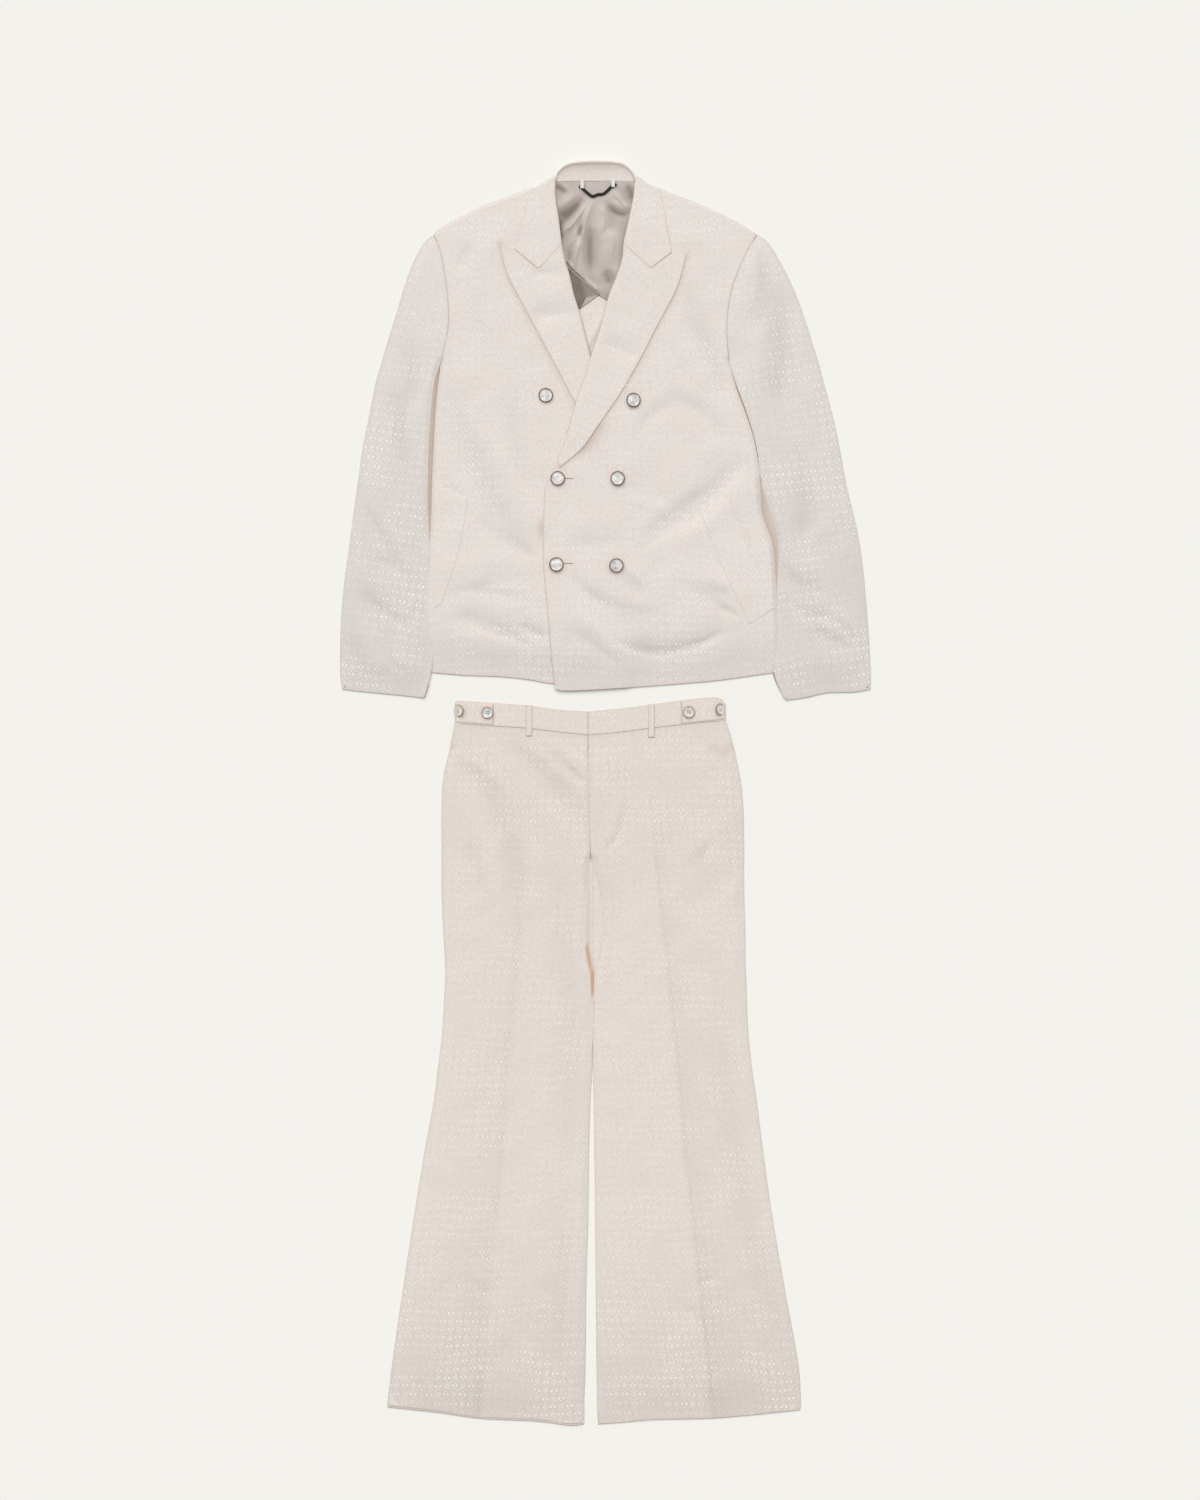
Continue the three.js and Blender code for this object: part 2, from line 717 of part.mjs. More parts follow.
const frontRightPoints = frontOutline("right", "Right");
cloth(
  jacket,
  "front_right",
  layOver(jacketLattice, frontRightPoints, FRONT_CLOTH, bodyLoft),
  ECRU,
);
const lapelRightPoints = lapelOutline("right", leafCorners("right"), 470);
const onCloth = () => 0;
cloth(
  jacket,
  "lapel_right",
  layOver(jacketLattice, lapelRightPoints, LAPEL_CLOTH, onCloth),
  ECRU,
);
const overRight = ramp(frontRightPoints);
const overLapel = ramp(lapelRightPoints);
const leftLoft = (x, y) =>
  bodyLoft(x, y) +
  (FRONT_CLOTH + SEAM_GAP) * overRight(x, y) +
  (LAPEL_CLOTH + SEAM_GAP) * overLapel(x, y);
cloth(
  jacket,
  "front_left",
  layOver(jacketLattice, frontOutline("left", "Left"), FRONT_CLOTH, leftLoft),
  ECRU,
);
cloth(
  jacket,
  "lapel_left",
  layOver(jacketLattice, lapelOutline("left", leafCorners("left"), 470), LAPEL_CLOTH, onCloth),
  ECRU,
);

// Collar leaves on the fronts
for (const { side } of SIDES) {
  const corner = leafCorners(side);
  const points = outline(
    [point(...corner.gorge), point(...corner.notch), point(...corner.point), point(...corner.side)],
    [point(...corner.shoulder)],
    reversed(shoulder(side).filter((p) => Math.abs(p.x - corner.shoulder[0]) > 3 && p.y > 859)),
    roll(side, 868, 780),
  );
  cloth(
    jacket,
    `collar_leaf_${side}`,
    layOver(jacketLattice, points, LAPEL_CLOTH, onCloth),
    ECRU,
  );
}

// Collar at the back of the neck: the stand leans up to its fold, the fall drops behind it and
// turns in flat under it
const foldLine = curve(column(COLLAR_FOLD, "x"));
const neckSeam = COLLAR_FOLD[0].y;
const standRise = (x, y) => {
  const t = (x - COLLAR_FOLD[0].x) / (COLLAR_FOLD.at(-1).x - COLLAR_FOLD[0].x);
  const top =
    COLLAR_END_HEIGHT +
    (COLLAR_TOP_HEIGHT - COLLAR_END_HEIGHT) * Math.sin(Math.PI * THREE.MathUtils.clamp(t, 0, 1));
  const up = THREE.MathUtils.clamp((y - neckSeam) / (COLLAR_FOLD[4].y - neckSeam), 0, 1.2);
  return BACK_CLOTH + SEAM_GAP + (top - BACK_CLOTH) * Math.sin((up * Math.PI) / 2.4);
};
const collarLattice = makeLattice(14, 8);
const [collarLeft, collarRight] = [-6, 4];
const [collarLow, collarHigh] = [107, 113];
const standSlab = (thick, lift) =>
  slab(collarLattice, collarLeft, collarRight, collarLow, collarHigh, thick, (i, j) =>
    standRise(i * collarLattice.stepX, j * collarLattice.stepY) + lift,
  );
const collarPoints = trim(outline(foldLine));
cloth(
  jacket,
  "collar_stand",
  { solid: standSlab(COLLAR_CLOTH, 0).intersect(prism(collarPoints, -5, 60)) },
  ECRU,
);
const inner = collarPoints.map((p) => {
  const middle = point(-14, neckSeam);
  const arm = p.clone().sub(middle);
  const shrunk = middle.clone().addScaledVector(arm, 1 - COLLAR_CLOTH / arm.length());
  return p.y < neckSeam + 2 ? shrunk.setY(neckSeam - 5) : shrunk;
});
cloth(
  jacket,
  "collar_fall",
  {
    solid: prism(collarPoints, 0, 30)
      .subtract(prism(inner, COLLAR_CLOTH, 31))
      .subtract(standSlab(40, -SEAM_GAP)),
  },
  ECRU,
);

// Pocket welts
for (const { side } of SIDES) {
  const points = outline(column(WELT, side, `${side}Y`));
  cloth(
    jacket,
    `pocket_welt_${side}`,
    layOver(jacketLattice, points, TAB_CLOTH, onCloth),
    ECRU,
  );
}

// Shank button: a raised rim round a shallow dome
function buttonGeometry(diameter) {
  const r = diameter / 2;
  const profile = [
    point(0, 0),
    point(r - 1.6, 0),
    point(r, 1.2),
    point(r, BUTTON_TALL - 0.8),
    point(r - 0.9, BUTTON_TALL),
    point(r - 2.2, BUTTON_TALL - 0.9),
    point(0, BUTTON_TALL - 0.4),
  ];
  return new THREE.LatheGeometry(profile, 18).rotateX(Math.PI / 2);
}

function placeButtons(group, rows, diameter, prefix) {
  for (const { name, x, y, on } of rows) {
    const button = meshOf(`${prefix}_${name}`, toGeometry(toSolid(buttonGeometry(diameter))), PEARL, 0.3);
    button.position.set(x, y, highestUnder(laidPieces[on], x, y, diameter / 2) + SEAM_GAP);
    group.add(button);
  }
}
placeButtons(jacket, JACKET_BUTTONS, JACKET_BUTTON, "button");

// Hanger loop lying on the lining
const liningTop = BACK_CLOTH + SEAM_GAP + LINING_CLOTH;
const cordHeight = liningTop + SEAM_GAP + CORD_RADIUS;
const cordPath = new THREE.CatmullRomCurve3(
  LOOP_PATH.map((row) => new THREE.Vector3(row.x, row.y, cordHeight)),
);
const cordRing = new THREE.Shape().absarc(0, 0, CORD_RADIUS, 0, 2 * Math.PI);
const cordGeometry = new THREE.ExtrudeGeometry(new THREE.Shape(cordRing.getPoints(CORD_SIDES / 2)), {
  steps: 16,
  bevelEnabled: false,
  extrudePath: cordPath,
});
jacket.add(meshOf("hanger_loop", toGeometry(toSolid(cordGeometry)), CORD_BLACK, 0.6));
for (const [side, row] of [["right", LOOP_PATH[0]], ["left", LOOP_PATH.at(-1)]]) {
  const plate = new THREE.BoxGeometry(LOOP_TAB.wide, LOOP_TAB.long, LOOP_TAB.thick);
  const end = meshOf(`loop_end_${side}`, toGeometry(toSolid(plate)), TAB_WHITE, 0.45);
  const reach = SEAM_GAP + LOOP_TAB.thick / 2;
  end.position.set(row.x, row.y + 1.5, cordHeight + CORD_RADIUS + reach);
  jacket.add(end);
}

// Trousers lattice and edges
const trouserLattice = makeLattice(24, 60);
const waistPart = (from, to) => WAIST.filter((row) => row.x >= from && row.x <= to);
const FRONT_CENTRE = -24;
const waistRange = { right: [-213, FRONT_CENTRE], left: [FRONT_CENTRE, 171] };
const legEdge = (name) => curve(column(LEG, name));
const waistSeam = (side) => curve(column(waistPart(...waistRange[side]), "x", "seamY"));
const legHem = (side) => curve(column(LEG_HEM, side, `${side}Y`));
const outward = (side, points) => (side === "right" ? reversed(points) : points);

// Back legs and back waistband, flat on the table
const SEAT_TOP = point(LEG[0].seatRight, 82);
const backSeam = (side) =>
  waistSeam(side).filter((p) => Math.abs(p.x - SEAT_TOP.x) > 10 && p.x < SEAT_TOP.x === (side === "right"));
for (const { side, Side } of SIDES) {
  const points = outline(
    [SEAT_TOP],
    outward(side, backSeam(side)),
    legEdge(`outer${Side}`),
    reversed(legHem(side)),
    reversed(legEdge(`seat${Side}`)),
  );
  cloth(trousers, `leg_back_${side}`, layFlat(trouserLattice, points, 0, BACK_CLOTH), ECRU_LEG);
}
const backBand = outline(
  [...backSeam("right"), SEAT_TOP, ...backSeam("left")],
  reversed(column(WAIST, "x", "topY")),
);
cloth(trousers, "waistband_back", layFlat(trouserLattice, backBand, 0, BACK_CLOTH), ECRU_LEG);

// Fly piece between the back and the fronts
const flyPoints = [
  point(FLY.right, 79),
  point(FLY.right, FLY.low + 14),
  point(-18, FLY.low),
  point(2, FLY.low + 10),
  point(FLY.left, FLY.low + 60),
  point(FLY.left, 79),
];
cloth(
  trousers,
  "fly_piece",
  layFlat(trouserLattice, outline(flyPoints), BACK_CLOTH + SEAM_GAP, LINING_CLOTH),
  ECRU_LEG,
);

// Front legs with their pressed centre creases, and the front waistband above them
const legFold = foldField(LEG_FOLDS);
const CROTCH = -98;
const CREASE_TOP = 80;
const seated = [];
for (const { side, Side } of SIDES) {
  const outer = legEdge(`outer${Side}`);
  const inside = legEdge(`inner${Side}`);
  const points = outline(
    [point(FRONT_CENTRE, 82)],
    outward(side, waistSeam(side)),
    outer,
    reversed(legHem(side)),
    reversed(inside),
  );
  const wish = (x, y) => {
    const fromOuter = ease(distanceToPath(outer, x, y).away / LEG_RUN);
    const fromInner = y > CROTCH ? 1 : ease(distanceToPath(inside, x, y).away / LEG_RUN);
    const crown = LEG_CROWN * fromOuter * fromInner * ease((SEAT_TOP.y - y) / HEM_RUN);
    return BACK_CLOTH + SEAM_GAP + crown + legFold(x, y) * ease((CREASE_TOP - y) / 40);
  };
  seated.push({ name: `leg_front_${side}`, points, thick: LEG_CLOTH, wish });
  const top = column(waistPart(...waistRange[side]), "x", "topY");
  const band = outline(waistSeam(side), reversed(top));
  seated.push({ name: `waistband_front_${side}`, points: band, thick: BAND_CLOTH, wish: onCloth });
}
laySideBySide(trouserLattice, seated).forEach((laid, i) => {
  cloth(trousers, seated[i].name, laid, ECRU_LEG);
});

// Side tabs and belt loops
const bandEdgeAt = (x, edge) => {
  const next = WAIST.findIndex((row) => row.x >= x);
  const [a, b] = [WAIST[Math.max(0, next - 1)], WAIST[next]];
  return a === b ? a[edge] : a[edge] + ((b[edge] - a[edge]) * (x - a.x)) / (b.x - a.x);
};
for (const { name, from, to } of TABS) {
  const points = outline([
    point(from, bandEdgeAt(from, "seamY") + 2),
    point(to, bandEdgeAt(to, "seamY") + 2),
    point(to, bandEdgeAt(to, "topY") - 2),
    point(from, bandEdgeAt(from, "topY") - 2),
  ]);
  cloth(trousers, `side_tab_${name}`, layOver(trouserLattice, points, TAB_CLOTH, onCloth), ECRU_LEG);
}
for (const { name, x, low, high } of BELT_LOOPS) {
  const half = BELT_LOOP.wide / 2;
  const points = outline([
    point(x - half, low),
    point(x + half, low),
    point(x + half, high),
    point(x - half, high),
  ]);
  cloth(
    trousers,
    `belt_loop_${name}`,
    layOver(trouserLattice, points, BELT_LOOP.thick, onCloth),
    ECRU_LEG,
  );
}
placeButtons(trousers, TROUSER_BUTTONS, TROUSER_BUTTON, "trouser_button");

const suit = new THREE.Group();
suit.name = "suit";
suit.add(jacket, trousers);

// Bottom centre of the whole at the origin
const bounds = new THREE.Box3().setFromObject(suit);
const centre = bounds.getCenter(new THREE.Vector3());
suit.position.set(-centre.x, -centre.y, -bounds.min.z);

export default suit;
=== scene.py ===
# %% [markdown]
# A double-breasted jacket lies above a pair of flared trousers, flat on a table and face up.
# The plain solids of the same two garments are loaded first. They give the frame in which
# every piece of cloth below is laid, so that cloth and solids stay in one place.

import math

import bmesh
import bpy
import numpy as np
from mathutils import Euler, Matrix


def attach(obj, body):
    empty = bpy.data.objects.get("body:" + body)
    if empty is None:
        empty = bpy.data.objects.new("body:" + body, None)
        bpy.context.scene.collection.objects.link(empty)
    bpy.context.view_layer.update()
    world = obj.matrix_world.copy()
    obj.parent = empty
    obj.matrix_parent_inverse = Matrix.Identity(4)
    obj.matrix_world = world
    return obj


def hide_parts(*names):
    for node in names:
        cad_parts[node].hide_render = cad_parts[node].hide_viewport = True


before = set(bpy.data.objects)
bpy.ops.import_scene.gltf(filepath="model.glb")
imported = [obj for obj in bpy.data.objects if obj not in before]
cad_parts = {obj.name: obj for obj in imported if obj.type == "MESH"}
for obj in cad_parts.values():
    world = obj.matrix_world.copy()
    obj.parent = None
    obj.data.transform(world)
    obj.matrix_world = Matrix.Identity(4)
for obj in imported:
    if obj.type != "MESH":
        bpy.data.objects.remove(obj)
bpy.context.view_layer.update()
MM = 0.001

# %% [markdown]
# The camera hangs straight above the table. A long lens far away keeps the edges of the cloth
# free of perspective, as in a photograph taken from a high stand. The picture is 1200 by 1500,
# so the lens is matched to its height.

# %% Camera
PICTURE_TALL = 2.130  # metres of table from the top to the bottom of the picture
PICTURE_MIDDLE = (-0.0076, 0.0613)  # the place on the table below the camera
LENS, SENSOR = 85, 36


def placed(name, data):
    """An object for a camera, a light or a mesh, put in the scene."""
    thing = bpy.data.objects.new(name, data)
    bpy.context.scene.collection.objects.link(thing)
    return thing


camera_data = bpy.data.cameras.new("camera")
camera_data.lens = LENS
camera_data.sensor_width = SENSOR
camera = placed("camera", camera_data)
camera.location = (*PICTURE_MIDDLE, PICTURE_TALL * LENS / SENSOR)
bpy.context.scene.camera = camera
print("camera height", round(camera.location.z, 3), "m")

# %% [markdown]
# Materials here are small node trees. They could be wired by hand in the editor, but a few
# helpers keep them short and easy to read: one adds a node and wires its inputs, and the
# others add the kinds that come back often. A number that is the same all over a surface is
# set on the shader's own socket.


# %% Node helpers
def add(tree, kind, inputs=None, **settings):
    node = tree.nodes.new(kind)
    for name, value in settings.items():
        setattr(node, name, value)
    for socket, value in (inputs or {}).items():
        if isinstance(value, bpy.types.NodeSocket):
            tree.links.new(value, node.inputs[socket])
        else:
            node.inputs[socket].default_value = value
    return node


def maths(tree, operation, *values):
    return add(tree, "ShaderNodeMath", dict(enumerate(values)), operation=operation).outputs[0]


def noise(tree, where, scale, detail):
    inputs = {"Vector": where, "Scale": scale, "Detail": detail}
    return add(tree, "ShaderNodeTexNoise", inputs).outputs["Fac"]


def soft_step(tree, value, low, high):
    """0 where value is at low, 1 where it is at high, with a soft change between."""
    inputs = {"Value": value, "From Min": low, "From Max": high, "To Min": 0.0, "To Max": 1.0}
    node = add(tree, "ShaderNodeMapRange", inputs, interpolation_type="SMOOTHSTEP")
    return node.outputs["Result"]


def mix(tree, factor, first, second):
    """The first colour where factor is 0, the second where it is 1."""
    inputs = {"Factor": factor, "A": first, "B": second}
    return add(tree, "ShaderNodeMix", inputs, data_type="RGBA").outputs["Result"]


def marked(tree, name):
    """A value that a piece carries on its points."""
    return add(tree, "ShaderNodeAttribute", attribute_name=name).outputs["Fac"]


def linear(red, green, blue):
    """A colour as picked from a picture, 0 to 255, in the renderer's linear values."""
    steps = [value / 255 for value in (red, green, blue)]
    return [s / 12.92 if s <= 0.04045 else ((s + 0.055) / 1.055) ** 2.4 for s in steps] + [1.0]


def new_material(name):
    material = bpy.data.materials.new(name)
    material.use_nodes = True
    tree = material.node_tree
    return material, tree, tree.nodes["Principled BSDF"]


print("a middle grey of 128 is", round(linear(128, 128, 128)[0], 3), "to the renderer")

# %% [markdown]
# The table is one pale plane under a wide, soft light from the top of the picture and an
# even white sky. A small lamp would draw hard shadows. Soft light leaves only faint shading
# on the folds, which is how light cloth looks in a studio.

# %% Table and light
KEY_STRENGTH, SKY_STRENGTH = 2.22, 0.40
TABLE_PAINT = (0.905, 0.897, 0.862, 1)
TABLE_BELOW = 0.0003  # metres, so that the cloth never shares a plane with the table


def mesh_of(name, bm):
    mesh = bpy.data.meshes.new(name)
    bm.to_mesh(mesh)
    bm.free()
    return mesh


bm = bmesh.new()
bmesh.ops.create_grid(bm, x_segments=1, y_segments=1, size=6)
table = placed("table", mesh_of("table", bm))
table.location.z = -TABLE_BELOW
table_paint, tree, shader = new_material("table paint")
shader.inputs["Base Color"].default_value = TABLE_PAINT
shader.inputs["Roughness"].default_value = 0.9
table.data.materials.append(table_paint)

key = bpy.data.lights.new("key", "SUN")
key.energy = KEY_STRENGTH
key.angle = math.radians(64)
key.color = (1.0, 0.995, 0.985)
key_light = placed("key", key)
key_light.rotation_euler = Euler((math.radians(-33), math.radians(-8), 0))

world = bpy.data.worlds.new("sky")
world.use_nodes = True
world.node_tree.nodes["Background"].inputs["Color"].default_value = (1, 1, 1, 1)
world.node_tree.nodes["Background"].inputs["Strength"].default_value = SKY_STRENGTH
bpy.context.scene.world = world
bpy.context.scene.view_settings.view_transform = "Standard"
print("light: key", KEY_STRENGTH, "sky", SKY_STRENGTH)

# %% [markdown]
# A cutter works from a paper pattern: edge lines drawn through measured points. The tables
# below hold those points in millimetres. Right and left are the wearer's, so the right side
# has negative x. A smooth line is drawn through each run of points and divided evenly, so a
# few points at the bends are enough.

# %% Smooth edge lines
SHIFT = np.array([-0.498, 0.259])  # from the drawing to the frame


def evened(line, step=4.0):
    gaps = np.hypot(*np.diff(line, axis=0).T)
    run = np.r_[0, gaps.cumsum()]
    stations = np.linspace(0, run[-1], max(2, round(run[-1] / step)) + 1)
    return np.column_stack([np.interp(stations, run, line[:, k]) for k in (0, 1)])


def drawn(points, step=4.0):
    p = np.asarray(points, float)
    if len(p) == 2:
        return evened(p, step)
    a, b = p[:-1, None], p[1:, None]
    from_a = (b - np.vstack([p[:1], p[:-2]])[:, None]) / 2
    to_b = (np.vstack([p[2:], p[-1:]])[:, None] - a) / 2
    t = np.linspace(0, 1, 16, endpoint=False)[None, :, None]
    bend = 2 * a - 2 * b + from_a + to_b
    turn = 3 * b - 3 * a - 2 * from_a - to_b
    curve = bend * t**3 + turn * t**2 + from_a * t + a
    return evened(np.vstack([curve.reshape(-1, 2), p[-1:]]), step)


def straight(*points):
    return np.array(points, float)


def chain(*lines):
    """Lines joined end to end, without the points that they share."""
    line = np.vstack(lines)
    return line[np.r_[True, np.hypot(*np.diff(line, axis=0).T) > 0.2]]


def along(line, share):
    """Points at the given shares of the line's length."""
    run = np.r_[0, np.hypot(*np.diff(line, axis=0).T).cumsum()]
    return np.column_stack([np.interp(share * run[-1], run, line[:, k]) for k in (0, 1)])


def ring(edges):
    """The outline of a piece from its left, right, bottom and top lines."""
    left, right, bottom, top = edges
    return chain(bottom, right, top[::-1], left[::-1])


corner = drawn([(0, 0), (50, 0), (50, 50)])
print("three points make a line of", len(corner), "points")

# %% [markdown]
# The body of the jacket has a front and a back at each side. Their side edges share one
# table of levels, from the armhole down to the hem, so a front always lies over its own
# back. An outline could also be traced with hundreds of points, but a short table can be
# read, checked with a ruler and changed.

# %% Jacket body pattern
# level, right front, right back, left front, left back
BODY = np.array([
    [793, -243, -243, 216, 216], [765, -233, -233, 200, 200], [740, -228, -228, 189, 189],
    [710, -224, -224, 179, 179], [680, -222, -222, 174, 174], [650, -224, -224, 173, 173],
    [611, -233, -233, 176, 176], [570, -238, -229, 188, 171], [535, -241, -230, 201, 184],
    [500, -243, -231, 212, 197], [460, -245, -232, 219, 205], [430, -246, -233, 221, 208],
    [395, -247, -233, 224, 211], [350, -249, -234, 239, 224], [300, -252, -234, 243, 227],
    [240, -253, -234, 246, 225], [172, -247, -232, 248, 227],
])
SHOULDER = {
    "right": [(-72, 876), (-92, 864), (-120, 853), (-180, 830), (-230, 804), (-243, 793)],
    "left": [(46, 876), (62, 865), (90, 853), (133, 836), (180, 814), (216, 793)],
}
# level, right roll line and covered edge, left roll line and closing edge
ROLL = np.array([
    [868, -70, 42], [846, -70, 40], [812, -65, 33], [780, -61, 26], [758, -57, 24],
    [735, -50, 17], [708, -44, 6], [682, -36, -1], [655, -29, -8], [620, -20, -20],
    [592, -12, -28], [555, 2, -41], [510, 18, -54], [470, 28, -68], [436, 32, -84],
    [396, 34, -87], [352, 34, -88], [317, 33, -87], [261, 31, -82], [213, 28, -78],
    [155, 24, -72],
])
HEM = {
    "right": [
        (24, 151), (-20, 153), (-74, 155), (-110, 161), (-149, 165), (-200, 167), (-247, 171),
    ],
    "left": [(-71, 148), (-60, 145), (-21, 146), (57, 151), (120, 156), (163, 160), (248, 172)],
}
SIDES = ("right", "left")
ARMPIT = 611


def levels(rows, column, high, low):
    """The smooth line through one column of a table, between two levels."""
    kept = rows[(rows[:, 0] <= high) & (rows[:, 0] >= low)]
    return drawn(kept[:, [column, 0]])


FRONT_COLUMN = {"right": 1, "left": 3}
BACK_COLUMN = {"right": 2, "left": 4}
armhole = {s: levels(BODY, FRONT_COLUMN[s], 793, ARMPIT) for s in SIDES}
front_side = {s: levels(BODY, FRONT_COLUMN[s], ARMPIT, 172) for s in SIDES}
back_side = {s: levels(BODY, BACK_COLUMN[s], ARMPIT, 172) for s in SIDES}
shoulder = {s: drawn(SHOULDER[s]) for s in SIDES}
hem = {s: drawn(HEM[s]) for s in SIDES}
roll_line = {s: levels(ROLL, k, 868, 155) for s, k in (("right", 1), ("left", 2))}
print("shoulder to hem", round(SHOULDER["right"][0][1] - HEM["right"][0][1]), "mm")

# %% [markdown]
# How high cloth lies at one place depends on how near that place is to an edge, a seam or a
# fold. Sculpting would give such forms too, but nobody could repeat them. Here one helper
# measures the distance from every point of a piece to a line, and two curves shape what is
# made of it: a soft step and a quarter of a circle.


# %% Distance to a line
def nearness(line, x, y):
    """Distance to the line, side of it (1 is left) and share of its length, at each point."""
    away, side, share = np.full(x.shape, 1e9), np.ones_like(x), np.zeros_like(x)
    for k, (a, b) in enumerate(zip(line[:-1], line[1:])):
        run = b - a
        if not run.any():
            continue
        t = np.clip(((x - a[0]) * run[0] + (y - a[1]) * run[1]) / (run @ run), 0, 1)
        here = np.hypot(x - a[0] - t * run[0], y - a[1] - t * run[1])
        turn = run[0] * (y - a[1]) - run[1] * (x - a[0])
        nearer = here < away
        away[nearer] = here[nearer]
        side[nearer] = np.sign(turn[nearer])
        share[nearer] = (k + t[nearer]) / (len(line) - 1)
    return away, side, share


def ease(t):
    t = np.clip(t, 0, 1)
    return t * t * (3 - 2 * t)


def quarter_round(away, wide):
    return np.sqrt(1 - (1 - np.clip(away / wide, 0, 1)) ** 2)


print("half way in, a soft step is at", float(ease(0.5)))
print("half way in, a round edge is at", round(float(quarter_round(0.5, 1)), 2))

# %% [markdown]
# An edge of cloth takes one of three forms. Turned cloth rolls round to the back, as at a
# shoulder seam. A side edge or a hem comes down gently to what is below it. A stitched or
# pressed edge only dips, because more cloth lies under it.


# %% Edges of cloth
def turned(z, line, x, y, wide=4.0, low=0.7):
    """Cloth that turns down round an edge to the table."""
    return low + (z - low) * quarter_round(nearness(line, x, y)[0], wide)


def flattened(z, line, x, y, wide=16, low=1.3):
    """Cloth that comes down gently to a hem or side edge."""
    return low + (z - low) * ease(0.12 + 0.88 * nearness(line, x, y)[0] / wide)


def dipped(z, line, x, y, wide=1.6, tall=0.9):
    """Cloth that only dips at a stitched or folded edge."""
    return z - tall * (1 - quarter_round(nearness(line, x, y)[0], wide))


def within(outline, x, y):
    """True at the points that lie inside a closed outline."""
    found = np.zeros(x.shape, bool)
    for a, b in zip(outline, np.roll(outline, -1, axis=0)):
        if a[1] == b[1]:
            continue
        spans = (a[1] > y) != (b[1] > y)
        found ^= spans & (x < (b[0] - a[0]) * (y - a[1]) / (b[1] - a[1]) + a[0])
    return found


seam = straight((0, 0), (10, 0))
at_seam = dipped(np.full(1, 4.0), seam, np.full(1, 5.0), np.zeros(1))
print("cloth 4 mm high is", round(float(at_seam[0]), 1), "mm high at its stitched edge")

# %% [markdown]
# A fold is a curved ridge or trough with a smaller wave beside it, which is what pushed
# cloth does. Each is one row of a table: where it starts, bends and ends, its half width and
# its rise. Below a floor the cloth rests on what is under it instead of sinking in.

# %% Folds of cloth
FOLD_STRENGTH = 1.3


def folds(rows, x, y):
    """Sum of soft folds, each a row: start, bend, end, half width, rise."""
    z = np.zeros_like(x)
    t = np.linspace(0, 1, 13)[:, None]
    for x0, y0, x1, y1, x2, y2, half, rise in rows:
        a, c = np.array([x0, y0]), np.array([x2, y2])
        b = 2 * np.array([x1, y1]) - (a + c) / 2
        path = (1 - t) ** 2 * a + 2 * t * (1 - t) * b + t**2 * c
        away, side, share = nearness(path, x, y)
        across = away * side * np.sign(half) / abs(half)
        wave = np.exp(-(across**2)) - 0.45 * np.exp(-((across - 1.7) ** 2))
        wave += 0.4 * np.exp(-((2.8 * across) ** 2))
        z += FOLD_STRENGTH * rise * wave * ease(1.4 - 1.2 * np.abs(2 * share - 1))
    return z


def trough_tone(rows, depth=0.08):
    """Painted shade in the troughs of the folds and painted light on the ridges, as in soft
    daylight.
    """
    return lambda x, y: np.clip(-depth * folds(rows, x, y), -0.3, 0.6)


def kept_above(z, floor, soft=0.4):
    """Cloth that rests on what is under it and never sinks into it."""
    return floor + soft * np.logaddexp(0, (z - floor) / soft)


crest = folds([(-50, 0, 0, 0, 50, 0, 10, 1)], np.zeros(1), np.zeros(1))[0]
print("a fold that rises 1 stands", round(float(crest), 2), "mm high")

# %% [markdown]
# Nothing soft lies perfectly even between its folds. A seeded sum of slow, crossing waves
# adds a fraction of a millimetre everywhere, and it is the same in every run.

# %% Ripple of resting cloth
ripples = np.random.default_rng(11)
WAVES = [
    (ripples.uniform(0, math.pi), ripples.uniform(26, 90), ripples.uniform(0, 6.28))
    for _ in range(14)
]


def ripple(x, y, rise=0.16):
    bent_x = x + 9 * np.sin(y / 41 + 1.3) + 5 * np.sin(y / 17)
    bent_y = y + 9 * np.sin(x / 37 + 0.4) + 5 * np.sin(x / 19)
    total = np.zeros_like(x)
    for angle, long, start in WAVES:
        ahead = bent_x * math.cos(angle) + bent_y * math.sin(angle)
        total += np.sin(2 * math.pi * ahead / long + start) * (long / 60)
    return rise * total / 2


print("waves:", len(WAVES), "from", round(min(w[1] for w in WAVES)), "mm long")

# %% [markdown]
# A laid piece of cloth is a grid stretched between its four edge lines, like a net in a
# frame. The grid lines crowd towards the edges, where the cloth bends most. A simulation
# could drape such a grid, but then its outline would no longer be the pattern's.


# %% Stretching a net
def crowded(t, share):
    """Even steps from 0 to 1, drawn towards both ends."""
    return t - share * np.sin(2 * math.pi * t) / (2 * math.pi)


def stretched(left, right, bottom, top, u, v):
    """Points between four edge lines, for shares u across and v along."""
    on_left, on_right = along(left, v), along(right, v)
    on_bottom, on_top = along(bottom, u), along(top, u)
    u, v = u[:, None], v[:, None]
    corners = (1 - u) * (1 - v) * bottom[0] + u * (1 - v) * bottom[-1]
    corners = corners + (1 - u) * v * top[0] + u * v * top[-1]
    return (1 - v) * on_bottom + v * on_top + (1 - u) * on_left + u * on_right - corners


first_step = 64 * float(crowded(1 / 64, 0.75))
print("at an edge a grid cell has", round(first_step, 2), "of its usual width")

# %% [markdown]
# The stretched grid becomes cloth. Its height comes from the helpers above, and a Solidify
# modifier gives the wall. A map named grain keeps the direction of the threads in metres for
# the woven design, and two values on the points say where shade is painted: near an edge,
# and over the whole piece.


# %% A piece of cloth
def mark(mesh, name, values):
    """A value on each point, for the material to read."""
    mesh.attributes.new(name, "FLOAT", "POINT").data.foreach_set("value", values)


def walled(piece, wall):
    shell = piece.modifiers.new("wall", "SOLIDIFY")
    shell.thickness = wall * MM
    shell.offset = -1
    return piece


